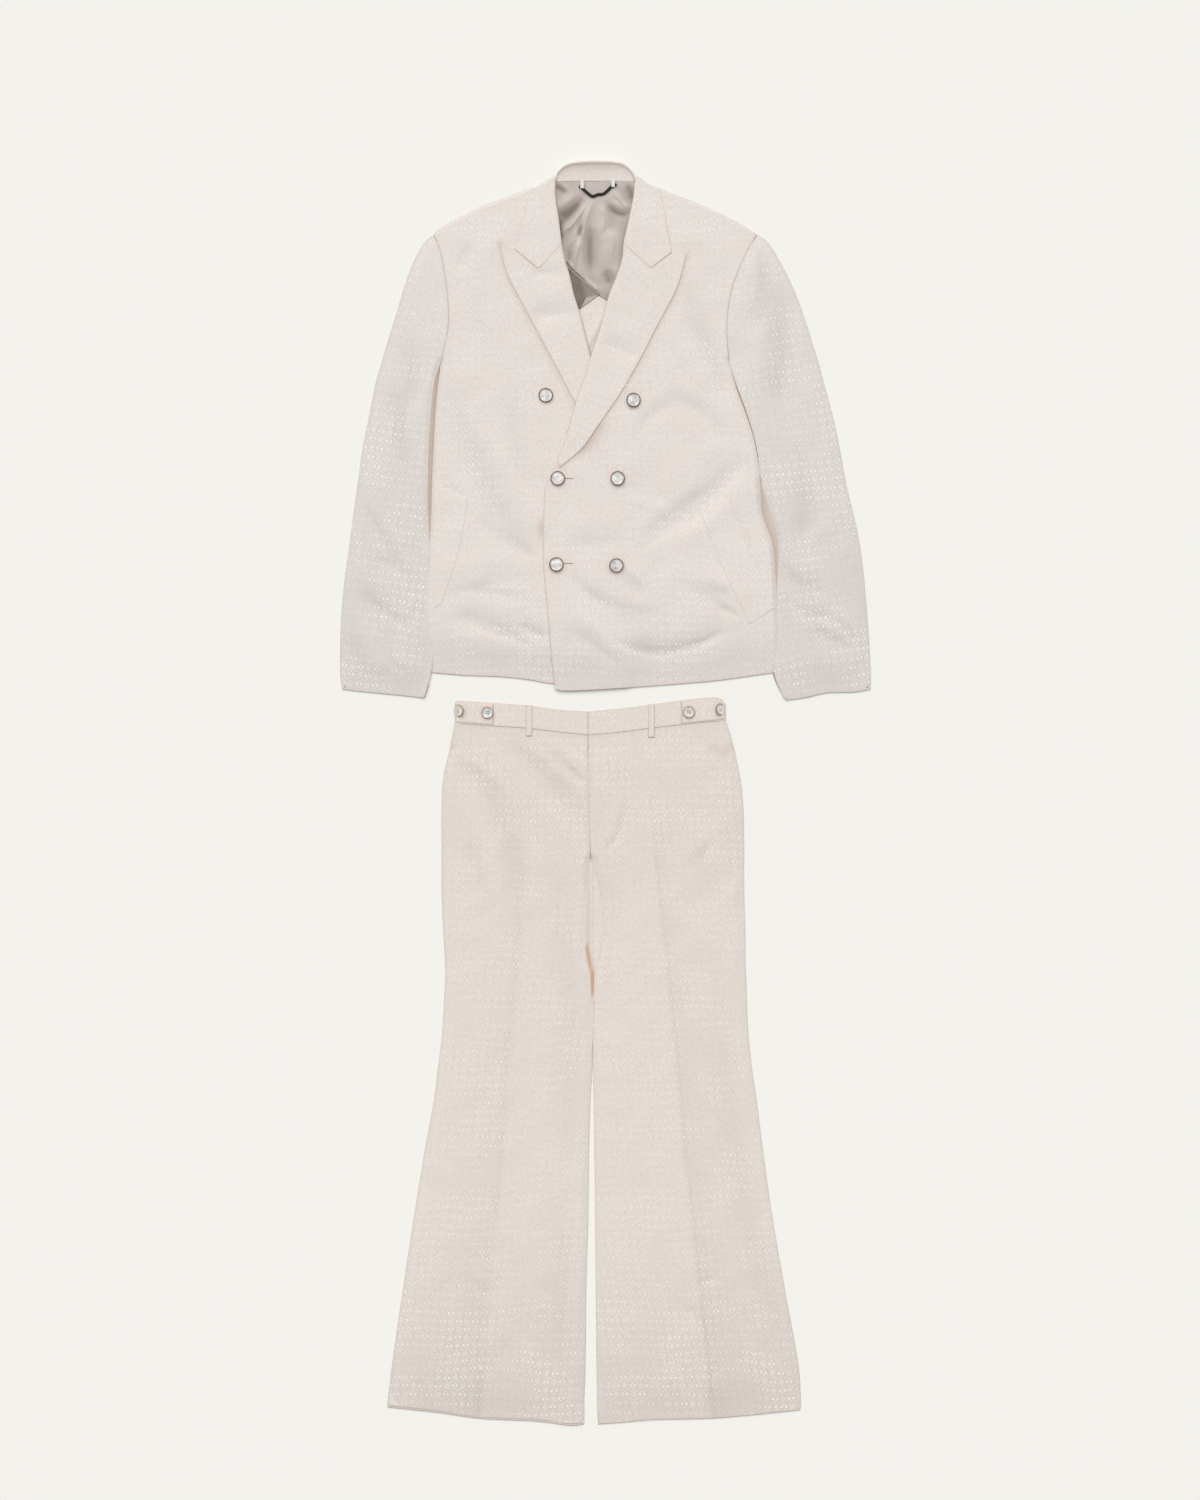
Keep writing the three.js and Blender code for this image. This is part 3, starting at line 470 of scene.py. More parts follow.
def cloth_piece(
    name, edges, cells, height, wall, grain=None, pull=0.06, crowd=0.75, warm=(0.25, 2.2),
    tint=None, tone=None,
):
    """edges are left, right, bottom and top lines; cells are counts across and along. warm is
    the strength and width of the painted tan shade near an edge, tint adds to it, and tone is
    painted shade over the piece."""
    bm = bmesh.new()
    bmesh.ops.create_grid(bm, x_segments=cells[0], y_segments=cells[1], size=0.5)
    mesh = mesh_of(name, bm)
    at = np.empty(len(mesh.vertices) * 3)
    mesh.vertices.foreach_get("co", at)
    at = at.reshape(-1, 3)
    long = [np.hypot(*np.diff(line, axis=0).T).sum() for line in edges]
    pull_u, pull_v = pull / max(long[2:]), pull / max(long[:2])
    u = pull_u + (1 - 2 * pull_u) * crowded(at[:, 0] + 0.5, crowd)
    v = pull_v + (1 - 2 * pull_v) * crowded(at[:, 1] + 0.5, crowd)
    flat = stretched(*edges, u, v)
    z = height(flat[:, 0], flat[:, 1])
    mesh.vertices.foreach_set("co", (np.column_stack([flat + SHIFT, z]) * MM).ravel())
    threads = (flat if grain is None else np.column_stack(grain(*flat.T))) * MM
    corners = np.empty(len(mesh.loops), int)
    mesh.loops.foreach_get("vertex_index", corners)
    mesh.uv_layers.new(name="grain").data.foreach_set("uv", threads[corners].ravel())
    rim = evened(ring(edges), 6)
    # Painted tan shade near the rim of the piece.
    near_edge = warm[0] * np.exp(-((nearness(rim, *flat.T)[0] / warm[1]) ** 1.5))
    if tint is not None:
        near_edge = np.clip(near_edge + tint(*flat.T), 0, 1)
    mark(mesh, "edge", near_edge)
    mark(mesh, "tone", np.zeros_like(z) if tone is None else np.maximum(0, tone(*flat.T)))
    mesh.shade_smooth()
    mesh.update()
    return walled(placed(name, mesh), wall)


# %% [markdown]
# A helper lays a piece, gives it its cloth, attaches it to the root and hides the solid that it
# replaces.


def lay(name, edges, cells, height, wall, material, slot, rests_on, cut=None, **more):
    piece = cloth_piece(name + "_cloth", edges, cells, height, wall, **more)
    piece.data.materials.append(material)
    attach(piece, "root")
    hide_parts(name)
    return piece


# %% [markdown]
# The suit is cut from an ecru cloth with a small figure woven in a shinier thread: a plain
# trellis of short dashes, with a four-petalled floret in each opening and a sprig on each
# crossing. It could be a painted picture. It is drawn with maths on the grain map instead,
# so it stays sharp at every size and turns with the threads of each piece.

# %% Figure of the weave
DIAMOND = (0.0235, 0.0245)  # width and height of one diamond, in metres
DASH_SHINE, SPRIG_SHINE, FLORET_SHINE = 0.62, 0.6, 0.8


def petals(tree, rising, falling, middle, half, wide):
    """Four almond petals round the point where both waves are nought."""
    along_axis = maths(tree, "MULTIPLY", maths(tree, "ADD", rising, falling), 0.5)
    off_axis = maths(tree, "ABSOLUTE", maths(tree, "SUBTRACT", rising, falling))
    off_axis = maths(tree, "MULTIPLY", off_axis, 0.5)
    share = maths(tree, "DIVIDE", maths(tree, "SUBTRACT", along_axis, middle), half)
    edge = maths(tree, "MULTIPLY_ADD", maths(tree, "MULTIPLY", share, share), -wide, wide)
    return soft_step(tree, maths(tree, "SUBTRACT", edge, off_axis), 0.0, 0.02)


def figure_of(tree):
    """1 on the shiny threads of the woven figure, 0 between them."""
    grain = add(tree, "ShaderNodeUVMap", uv_map="grain").outputs["UV"]
    split = add(tree, "ShaderNodeSeparateXYZ", {0: grain}).outputs
    across = maths(tree, "DIVIDE", split["X"], DIAMOND[0])
    across = maths(tree, "MULTIPLY_ADD", noise(tree, grain, 70.0, 1.0), 0.16, across)
    up = maths(tree, "DIVIDE", split["Y"], DIAMOND[1])
    up = maths(tree, "MULTIPLY_ADD", noise(tree, grain, 9.0, 1.0), 0.9, up)
    sway = maths(tree, "SINE", maths(tree, "MULTIPLY", up, 4 * math.pi))
    waisted = maths(tree, "MULTIPLY_ADD", sway, -0.055, up)
    rising = maths(tree, "PINGPONG", maths(tree, "ADD", across, waisted), 0.5)
    falling = maths(tree, "PINGPONG", maths(tree, "SUBTRACT", across, waisted), 0.5)
    trellis = soft_step(tree, maths(tree, "MINIMUM", rising, falling), 0.07, 0.03)
    from_middle = [maths(tree, "SUBTRACT", 0.5, wave) for wave in (rising, falling)]
    floret = petals(tree, *from_middle, 0.13, 0.085, 0.05)
    sprig = petals(tree, rising, falling, 0.11, 0.08, 0.025)
    dashes = soft_step(tree, noise(tree, grain, 330.0, 1.0), 0.45, 0.55)
    dashes = maths(tree, "MULTIPLY", maths(tree, "MULTIPLY", trellis, dashes), DASH_SHINE)
    lines = maths(tree, "MAXIMUM", dashes, maths(tree, "MULTIPLY", sprig, SPRIG_SHINE))
    return grain, maths(tree, "MAXIMUM", lines, maths(tree, "MULTIPLY", floret, FLORET_SHINE))


print("diamonds across a front:", round(0.25 / DIAMOND[0]))

# %% [markdown]
# The cloth mixes its ground with the shiny figure. Noise makes the ground uneven, and a
# painted sheen lets the figure come and go, as it does where light glances off a weave. Two
# values that each piece carries paint shade on it: tan beside the seams and edges, and a
# darker ground in the troughs and where less light falls.


# %% Figured cloth
# The colour named edge is the tan of the painted shade at seams, edges and gaps.
def figured_cloth(name, ground, figure, shade, edge=(196, 172, 154)):
    material, tree, shader = new_material(name)
    grain, threads = figure_of(tree)
    uneven = soft_step(tree, noise(tree, grain, 210.0, 3.0), 0.35, 0.65)
    colour = mix(tree, uneven, linear(*ground), linear(*shade))
    # Painted shade: the value marked on the points darkens the ground towards the shade colour.
    tone = marked(tree, "tone")
    colour = mix(tree, tone, colour, linear(*[0.9 * c for c in shade]))
    # Painted sheen: noise patches where the shiny figure shows paler, as where light glances off
    # it.
    glint = soft_step(tree, noise(tree, grain, 14.0, 3.0), 0.38, 0.62)
    strength = maths(tree, "MULTIPLY", threads, maths(tree, "MULTIPLY_ADD", glint, 0.55, 0.17))
    clearer = maths(tree, "MINIMUM", maths(tree, "MULTIPLY_ADD", tone, 1.3, 0.5), 1.0)
    strength = maths(tree, "MULTIPLY", strength, clearer)
    colour = mix(tree, strength, colour, linear(*figure))
    # Painted shade mixed in, in the tan edge colour.
    colour = mix(tree, marked(tree, "edge"), colour, linear(*edge))
    tree.links.new(colour, shader.inputs["Base Color"])
    rough = maths(tree, "SUBTRACT", 0.7, maths(tree, "MULTIPLY", threads, 0.2))
    tree.links.new(rough, shader.inputs["Roughness"])
    weave, crumple = noise(tree, grain, 900.0, 2.0), noise(tree, grain, 90.0, 5.0)
    relief = maths(tree, "ADD", maths(tree, "MULTIPLY", threads, 0.6), weave)
    relief = maths(tree, "MULTIPLY_ADD", crumple, 7.0, relief)
    bump = add(tree, "ShaderNodeBump", {"Strength": 0.35, "Distance": 0.00015, "Height": relief})
    tree.links.new(bump.outputs["Normal"], shader.inputs["Normal"])
    shader.inputs["Specular IOR Level"].default_value = 0.3
    return material


# The figure's pale colour is its woven pattern, and partly a painted sheen of its shinier thread.
jacket_colours = (231, 223, 217), (252, 249, 246), (226, 217, 211)  # ground, figure, shade
# The sleeves take a copy of the same cloth a shade cooler, and the trousers one a little darker:
# painted shade, as less light falls on them than on the jacket body.
sleeve_colours = (230, 223, 218), (252, 250, 247), (224, 217, 212)
trouser_colours = (229, 220, 213), (252, 248, 244), (224, 214, 207)
jacket_cloth = figured_cloth("jacket cloth", *jacket_colours)
sleeve_cloth = figured_cloth("sleeve cloth", *sleeve_colours)
# The trousers' tan edge colour is that of their painted shade at the edges and in the crotch gap.
trouser_cloth = figured_cloth("trouser cloth", *trouser_colours, edge=(204, 172, 146))
# A copy of the jacket cloth with a dark tan edge colour: painted shade for the pieces that show
# only in narrow gaps.
shaded_cloth = figured_cloth("cloth in shade", *jacket_colours, edge=(176, 150, 130))
print("cloths:", [m.name for m in (jacket_cloth, sleeve_cloth, trouser_cloth, shaded_cloth)])

# %% [markdown]
# The two halves of the back and the under sleeves lie on the table. They hardly show, so
# they are flat and coarse, and they are drawn in a little from the edges, because the cloth
# above turns down round them.

# %% Backs
CLOTH_WALL = 1.2
BACK_TOP = 1.4


def flat_back(x, y):
    return np.full_like(x, BACK_TOP)


for side, sign in (("right", -1), ("left", 1)):
    outer = chain(armhole[side], back_side[side])[::-1]
    middle = straight((0, 166), (-14, 868))
    neck = straight((-14, 868), ROLL[0][[1 if side == "right" else 2, 0]])
    top = chain(neck, shoulder[side])
    low = straight((0, 166), (sign * 150, 170), outer[0])
    edges = (outer, middle, low[::-1], top[::-1]) if sign < 0 else (middle, outer, low, top)
    # The backs are painted with dark tan shade far in from their edges, for the gaps beside the
    # sleeves where they show.
    lay(
        f"back_{side}", edges, (50, 100), flat_back, CLOTH_WALL,
        shaded_cloth, "jacket_cloth", ["table"], pull=2.2, crowd=0.6, warm=(0.9, 22),
    )

# %% [markdown]
# A sleeve is cut in two, an under sleeve and a top sleeve that share their outer edge. One
# table gives both: the top sleeve ends at the inner column, and the under sleeve at its own,
# nearer the body. The cap follows the armhole, so no gap opens at the shoulder.

# %% Sleeve pattern
# level, right outer, right inner, right under, left outer, left inner, left under
SLEEVE = np.array([
    [793, -243, -243, -243, 216, 216, 216], [781, -257, -238, -238, 232, 208, 208],
    [752, -273, -230, -230, 250, 194, 194], [715, -286, -225, -225, 268, 181, 181],
    [675, -298, -222, -222, 283, 174, 174], [630, -312, -228, -228, 297, 174, 174],
    [611, -317, -233, -233, 303, 176, 176], [585, -325, -242, -233, 310, 184, 176],
    [540, -334, -247, -234, 322, 201, 190], [490, -344, -250, -237, 333, 215, 203],
    [440, -351, -251, -239, 342, 222, 210], [390, -358, -251, -240, 354, 238, 215],
    [350, -363, -248, -240, 362, 246, 229], [300, -370, -243, -240, 368, 244, 234],
    [240, -375, -240, -239, 373, 239, 232], [175, -376, -246, -244, 377, 239, 235],
    [137, -373, -257, -257, 378, 253, 253],
])
CUFF = {
    "right": [(-373, 147), (-338, 143), (-295, 139), (-259, 135), (-257, 137)],
    "left": [(377, 147), (352, 143), (315, 142), (283, 135), (253, 131)],
}
SLEEVE_COLUMN = {"right": (1, 2, 3), "left": (4, 5, 6)}


def sleeve_edges(side, inner_column):
    outer_column = SLEEVE_COLUMN[side][0]
    rows = SLEEVE[SLEEVE[:, 0] >= 175][:, [outer_column, 0]]
    outer = drawn(np.vstack([rows, CUFF[side][0]]))
    below_cap = outer[:, 1] <= 752
    cap_outer, outer = outer[~below_cap], outer[below_cap][::-1]
    low_armhole = armhole[side][armhole[side][:, 1] <= 765]
    cap_inner = armhole[side][armhole[side][:, 1] > 765]
    inner = chain(low_armhole, levels(SLEEVE, inner_column, ARMPIT, 137))[::-1]
    cap = chain(outer[-1:], cap_outer[::-1], cap_inner, inner[-1:])
    cuff = chain(outer[:1], drawn(CUFF[side])[1:-1], inner[:1])
    if side == "right":
        return outer, inner, cuff, cap
    return inner, outer, cuff[::-1], cap[::-1]


print("sleeve", round(SLEEVE[0, 0] - SLEEVE[-1, 0]), "mm from cap to cuff")

# %% [markdown]
# The under sleeves lie on the table. Only a thin line of them shows in the shade between
# sleeve and body, so they are flat grids with few cells, and their cloth is painted with dark
# tan shade far in from its edges.

# %% Under sleeves
for side in SIDES:
    lay(
        f"sleeve_under_{side}", sleeve_edges(side, SLEEVE_COLUMN[side][2]), (30, 100),
        flat_back, CLOTH_WALL, shaded_cloth, "jacket_cloth", ["table"],
        pull=3.5, crowd=0.6, warm=(0.9, 22),
    )

# %% [markdown]
# A sleeve folds where it bends: long troughs run down its upper half, and slanting ones cross
# the elbow and the part above the cuff. Each fold is one row, the large ones first and the
# sharp ones over them.

# %% Folds of the sleeves
SLEEVE_FOLDS = [
    (193, 659, 219, 701, 227, 775, 16, -1.6), (240, 727, 246, 616, 230, 552, -20, -2),
    (293, 436, 288, 396, 283, 356, 16, -1.2), (246, 314, 280, 296, 314, 277, 16, -1.4),
    (288, 234, 320, 218, 352, 203, 16, -1.3), (-280, 648, -274, 595, -268, 542, 18, -1.6),
    (-301, 585, -292, 524, -284, 463, 18, -1.1), (-348, 288, -326, 269, -305, 250, 16, -1.2),
    (-369, 230, -350, 190, -332, 151, 16, -1.5), (267, 271, 290, 258, 314, 246, 10, -1),
    (217, 769, 230, 698, 199, 650, -9, -1.1), (252, 725, 247, 618, 252, 503, 20, -1.3),
    (274, 485, 281, 414, 274, 330, 14, -1.2), (243, 330, 262, 312, 279, 290, 5, -0.6),
    (270, 290, 290, 276, 310, 263, 5, -0.7), (283, 250, 327, 244, 363, 206, -7, -0.9),
    (274, 259, 298, 240, 314, 215, 5, -0.7), (231, 318, 250, 268, 262, 210, 7, -0.6),
    (-277, 570, -289, 502, -268, 434, 11, -1.2), (-350, 416, -309, 353, -291, 308, 8, -1.0),
    (-345, 280, -300, 249, -277, 240, 7, -0.8), (-330, 330, -300, 322, -272, 300, 8, -0.7),
    (-268, 285, -286, 230, -286, 150, 4, 0.35), (-310, 200, -298, 180, -280, 172, 7, -0.6),
]
print("sleeve folds:", len(SLEEVE_FOLDS))

# %% [markdown]
# A top sleeve is a shallow tunnel that rises from its outer and inner edges. It could be a
# tube, but from above only this half shows. Where it lies against the body both keep to one
# level, which changes on the way down. The threads run along the sleeve, so its grain map is
# turned by the slant of the sleeve.

# %% Top sleeves
sleeve_slant = {"right": math.atan2(80, 640), "left": math.atan2(-100, 640)}


def turned_grain(angle):
    c, s = math.cos(angle), math.sin(angle)
    return lambda x, y: (c * x - s * y, s * x + c * y)


def beside_body(side, y):
    """Lowest height of cloth where sleeve and body lie close together, by level."""
    if side == "left":
        return 1.4 + 1.8 * ease((y - 435) / 20) + 1.6 * ease((300 - y) / 40)
    return 1.4 + 0.8 * ease((y - 380) / 30) * ease((560 - y) / 30) + 1.8 * ease((370 - y) / 30)


def sleeve_height(side):
    outer_column, inner_column, _ = SLEEVE_COLUMN[side]
    outer = levels(SLEEVE, outer_column, 793, 137)
    inner = levels(SLEEVE, inner_column, ARMPIT, 137)

    def height(x, y):
        crown = ease(nearness(outer, x, y)[0] / 45) * ease(nearness(inner, x, y)[0] / 45)
        crown = crown * (0.45 + 0.55 * ease((y - 140) / 50))
        z = kept_above(3.4 + 3 * crown + folds(SLEEVE_FOLDS, x, y) + ripple(x, y), 2.8)
        cuff = drawn(CUFF[side])
        z = flattened(z, cuff, x, y, wide=50)
        z = flattened(z, outer, x, y)
        z = flattened(z, inner, x, y, wide=8, low=beside_body(side, y))
        return dipped(z, armhole[side], x, y, wide=3.5, tall=0.5)

    return height


# Painted shade on the top sleeves: darker away from the armholes and lower down, and in the
# troughs of the folds.
def sleeve_tone(x, y):
    from_body = np.minimum(*[nearness(armhole[side], x, y)[0] for side in SIDES])
    outward = 0.3 * (1 - np.exp(-from_body / 60)) + 0.1 * ease((560 - y) / 300)
    return outward + trough_tone(SLEEVE_FOLDS)(x, y)


for side in SIDES:
    lay(
        f"sleeve_top_{side}", sleeve_edges(side, SLEEVE_COLUMN[side][1]), (64, 170),
        sleeve_height(side), CLOTH_WALL, sleeve_cloth, "jacket_cloth",
        [f"sleeve_under_{side}"], grain=turned_grain(sleeve_slant[side]),
        warm=(0.2, 2.5), tone=sleeve_tone,
    )

# %% [markdown]
# Inside the neck opening the back lining shows: a thin, shiny satin that gathers in slanting
# folds. Below its slanted lower edge the inner back is in the outer cloth. A double piping
# crosses the satin just above that edge.

# %% Satin
def satin_cloth(name, ground, shade, satin_shade_colour):
    material, tree, shader = new_material(name)
    grain = add(tree, "ShaderNodeUVMap", uv_map="grain").outputs["UV"]
    drift = soft_step(tree, noise(tree, grain, 14.0, 3.0), 0.35, 0.7)
    colour = mix(tree, drift, linear(*ground), linear(*shade))
    # Painted shade: the value marked edge darkens the satin towards its shade colour.
    colour = mix(tree, marked(tree, "edge"), colour, linear(*satin_shade_colour))
    tree.links.new(colour, shader.inputs["Base Color"])
    shader.inputs["Roughness"].default_value = 0.32
    return material


satin = satin_cloth("lining satin", (200, 189, 183), (190, 178, 172), satin_shade_colour=(112, 95, 88))
print("lining:", satin.name)

# %% [markdown]
# Loose satin falls into sharp folds that cross each other. A cloth simulation would gather
# it by chance, so each fold is listed here as a curved ridge or trough. Shade is painted into
# the colour in the troughs and beside the fronts, where little light gets in.

# %% Lining of the neck opening
LINING_WALL = 0.5
LINING_EDGE = straight((-62, 695), (-37, 686), (-9, 706), (3, 699), (32, 684))
LINING_FOLDS = [
    (-63, 795, -45, 809, -24, 840, 6, 2.2), (-65, 818, -50, 826, -30, 844, 8, -1.8),
    (-31, 784, -29, 805, -18, 839, 4, 1.6), (-36, 789, -35, 797, -32, 806, 3, -1.6),
    (-45, 742, -41, 765, -33, 784, 4, 1.4), (-20, 734, -22, 774, -20, 804, 9, -1.5),
    (4, 834, 18, 824, 34, 821, 5, -1.8), (10, 856, 26, 837, 36, 828, 5, 1.4),
    (30, 862, 36, 852, 40, 840, 6, -1.4), (-1, 742, 4, 732, 6, 720, 8, -1.2),
    (-70, 862, -62, 856, -54, 850, 4, -1.2), (-62, 812, -64, 800, -60, 780, 5, -1.4),
    (2, 800, 10, 780, 4, 750, 12, 1.2), (-30, 728, -18, 718, -8, 710, 5, 0.9),
    (-64, 770, -54, 752, -50, 738, 5, 1.2), (-8, 836, -2, 815, -6, 790, 7, 1.0),
]


def lining_height(x, y):
    z = kept_above(4.0 + folds(LINING_FOLDS, x, y) + ripple(x, y, 0.2), 2.9)
    return 3.3 + (z - 3.3) * ease(nearness(LINING_EDGE, x, y)[0] / 12)


lining_edges = (
    straight((-88, 715), (-88, 855)), straight((60, 715), (60, 859)),
    chain(straight((-88, 715)), LINING_EDGE, straight((60, 715))),
    straight((-88, 855), (-70, 868), (42, 868), (60, 859)),
)
UNDER_PIPING = straight((-56, 756), (-38, 682), (-27, 703), (-6, 707))


def painted_lining_shade(x, y):
    """Painted shade in the troughs of the satin, beside the fronts and below its piping."""
    trough = np.clip(-0.24 * folds(LINING_FOLDS, x, y), -0.2, 0.75)
    to_right_front = np.exp(-nearness(roll_line["right"], x, y)[0] / 15)
    to_left_front = np.exp(-nearness(roll_line["left"], x, y)[0] / 9)
    below = within(UNDER_PIPING, x, y) * (0.2 + 1.1 * to_right_front)
    # A painted shadow in a thin line just below the piping.
    from_piping = nearness(straight((-52, 746), (-8, 706)), x, y)[0]
    line = 0.7 * np.exp(-((from_piping / 1.4) ** 2))
    return 0.12 + trough + 0.4 * to_right_front + 0.26 * to_left_front + below + line


lay(
    "back_lining", lining_edges, (130, 130), lining_height, LINING_WALL, satin, "lining_satin",
    ["back_left", "back_right"], crowd=0, warm=(0.0, 1.0), tint=painted_lining_shade,
)

# %% [markdown]
# Below the satin a small part of the inner back shows between the fronts. The back itself
# could be seen through instead, but the inner cloth lies higher. So it is one short grid of
# its own with a single fold, and its top is the slanted edge of the lining.


# %% Lower inner back
def inner_back_height(x, y):
    return 2.7 + folds([(6, 690, -14, 655, -30, 625, 6, 0.8)], x, y)


inner_edges = (
    straight((-46, 600), (-62, 695)), straight((6, 600), (32, 684)),
    straight((-46, 600), (6, 600)), LINING_EDGE,
)
lay(
    "back_inner_lower", inner_edges, (40, 40), inner_back_height, 0.6,
    jacket_cloth, "jacket_cloth", ["back_left", "back_right"], crowd=0,
)

# %% [markdown]
# A closed jacket folds from the armholes towards its buttons and across the skirt below
# them. The folds of both fronts stand in one table, so that a fold can run on from one front
# to the other under the lap.

# %% Folds of the fronts
FRONT_FOLDS = [
    (-231, 595, -152, 405, -94, 331, 22, -2.2), (-121, 568, -125, 500, -94, 383, 18, -1.4),
    (-189, 781, -200, 760, -210, 738, 16, -1), (-231, 271, -179, 293, -94, 304, 18, -1.2),
    (-226, 250, -163, 239, -102, 206, -16, -1.6), (102, 701, 155, 606, 166, 542, -18, -1.6),
    (209, 479, 139, 426, 44, 346, 18, -1.5), (172, 433, 196, 375, 216, 316, 4, -0.7),
    (71, 574, 139, 537, 172, 494, 16, -1.1), (-62, 351, -14, 354, 34, 356, 16, -1),
    (-51, 310, 13, 256, 71, 250, -16, -1.4),
    (23, 230, 81, 200, 187, 234, -17, -2.3), (118, 298, 153, 274, 187, 250, 16, -1.6),
    (-109, 680, -70, 678, -30, 683, 16, -1.4), (-4, 643, 22, 628, 50, 616, 16, -1.2),
    (-125, 240, -102, 230, -78, 219, 12, -1.2), (172, 436, 137, 402, 102, 372, 12, -1.2),
    (44, 510, 75, 542, 102, 548, 12, -1), (17, 314, 34, 296, 54, 277, 10, -1),
    (-51, 234, -11, 205, 28, 176, 12, -1.2), (209, 474, 125, 402, 47, 343, 6, -0.6),
    (33, 312, 44, 296, 57, 278, 5, -0.7), (-42, 309, -1, 271, 85, 254, -7, -0.8),
    (9, 223, 60, 199, 116, 209, -5, -1.0), (116, 209, 142, 216, 168, 233, -6, -0.9),
    (160, 265, 174, 258, 190, 249, 4, -0.9), (147, 292, 164, 284, 181, 281, 7, -0.8),
    (-183, 395, -140, 356, -97, 336, 9, -0.9), (-225, 433, -211, 427, -197, 419, 6, -0.6),
    (-194, 240, -152, 226, -97, 204, -5, -0.8), (-115, 233, -99, 226, -84, 216, 5, -0.7),
    (-200, 288, -158, 282, -108, 276, 9, -0.8), (120, 724, 131, 670, 157, 620, -9, -0.9),
    (50, 354, 100, 400, 177, 441, 9, -0.7), (-171, 421, -150, 380, -113, 343, 6, -0.5),
    (96, 640, 110, 600, 150, 560, 12, -0.7), (-190, 690, -170, 640, -160, 590, 12, -0.8),
    (20, 420, 60, 410, 100, 392, 9, 0.6), (-180, 520, -150, 470, -140, 430, 12, 0.6),
]
print("folds of the fronts:", len(FRONT_FOLDS))

# %% [markdown]
# The fronts carry the jacket's shape. Both rest on the back, rise gently away from the
# shoulders and sides, and come down at the side edges. They share this loft, and what is
# different at each edge is added after it: side, shoulder, armhole, hem and roll line.

# %% Loft of the fronts
shoulder_line = chain(shoulder["right"][::-1], shoulder["left"])


def body_loft(x, y):
    """Top of a front that lies straight on the back."""
    drop = ease(nearness(shoulder_line, x, y)[0] / 60)
    right_edge = np.interp(y, BODY[::-1, 0], BODY[::-1, 1])
    left_edge = np.interp(y, BODY[::-1, 0], BODY[::-1, 3])
    from_side = np.maximum(0, np.minimum(x - right_edge, left_edge - x))
    crown = 1.3 * ease(from_side / 70) * ease((y - 150) / 60)
    over_sleeve = 0.7 * ease((390 - y) / 60) * ease((40 - from_side) / 30)
    rest = folds(FRONT_FOLDS, x, y) + ripple(x, y)
    return kept_above(3.9 + 2 * drop + crown + over_sleeve + rest * drop, 2.8)


def front_edges(side):
    outer = chain(armhole[side], front_side[side])[::-1]
    centre = chain(roll_line[side], hem[side][:1])[::-1]
    low = chain(centre[:1], hem[side][1:-1], outer[:1])
    top = chain(centre[-1:], shoulder[side])
    if side == "right":
        return outer, centre, low[::-1], top[::-1]
    return centre, outer, low, top


def finish_front(z, side, x, y):
    z = flattened(z, front_side[side], x, y, wide=8, low=beside_body(side, y))
    z = turned(z, shoulder[side], x, y, wide=5, low=1.0)
    z = dipped(z, armhole[side], x, y, wide=3.5, tall=0.5)
    over_hem = 1.3 + 2.4 * ease((42 - x) / 16) * (side == "left")
    z = flattened(z, hem[side], x, y, wide=60, low=over_hem)
    return dipped(z, roll_line[side], x, y, wide=2.2, tall=1.2)


def front_right_height(x, y):
    return finish_front(body_loft(x, y), "right", x, y)


# Painted shade on the fronts: darker towards the hem and in the troughs of the folds.
def body_tone(x, y):
    return 0.3 * ease((330 - y) / 190) + trough_tone(FRONT_FOLDS)(x, y)


def beside(line, wide, strength, high=900, low=100):
    """Warm shadow beside a line, over part of its height."""
    def tint(x, y):
        part = ease((high - y) / 20) * ease((y - low) / 20)
        return strength * part * np.exp(-((nearness(line, x, y)[0] / wide) ** 2))

    return tint


def tints(*parts):
    return lambda x, y: sum(part(x, y) for part in parts)


chest = body_loft(np.array([-150.0]), np.array([600.0]))[0]
print("the chest lies", round(float(chest), 1), "mm above the table")

# %% [markdown]
# A lapel is the facing turned back over the front along the roll line. The roll itself is
# soft and round, the outer edge is pressed sharp and stands a little proud, so a thin shadow
# runs below it. The collar leaf meets the lapel along the gorge and leaves a notch.

# %% Lapel pattern
LAPEL = {
    "right": [
        (-149, 780), (-142, 745), (-132, 721), (-99, 660), (-80, 624), (-62, 591),
        (-44, 557), (-27, 535), (-2, 505), (20, 484),
    ],
    "left": [
        (116, 764), (105, 724), (96, 703), (73, 660), (50, 615), (21, 565),
        (-10, 520), (-31, 490), (-51, 472), (-64, 462),
    ],
}
LEAF = {
    "right": dict(
        shoulder=(-105, 858.5), side=(-111, 839), point=(-128, 771), notch=(-94, 743),
        gorge=(-61, 780),
    ),
    "left": dict(
        shoulder=(77, 858.5), side=(83, 833), point=(95, 767), notch=(65, 744),
        gorge=(26, 780),
    ),
}
free_edge = {side: drawn(LAPEL[side]) for side in SIDES}
for side in SIDES:
    tip, notch = np.array(LAPEL[side][0]), np.array(LEAF[side]["notch"])
    print(side, "peak", round(float(np.hypot(*(tip - notch)))), "mm wide")

# %% [markdown]
# The right front lies under the left one. Its grid runs from the side seam to the roll line,
# and two warm shadows are laid on it: below its own lapel, and where the left front starts.

# %% Right front
lay(
    "front_right", front_edges("right"), (120, 210), front_right_height, CLOTH_WALL,
    jacket_cloth, "jacket_cloth", ["back_right"], tone=body_tone,
    tint=tints(
        beside(free_edge["right"], 5, 0.3), beside(roll_line["left"], 8, 0.5, 398, 355),
    ),
)

# %% [markdown]
# The right lapel follows the front that it lies on: its height is the front's height and a
# little more. It could be the same grid folded over, but a piece of its own keeps the rows
# straight along the roll. Its threads run with the roll line, so its grain map is turned.

# %% Lapel of the right front
LAPEL_WALL = 1.0
LAPEL_FOLDS = [(-109, 738, -83, 736, -57, 736, 10, -0.8), (60, 626, 80, 612, 102, 595, 14, -0.9)]


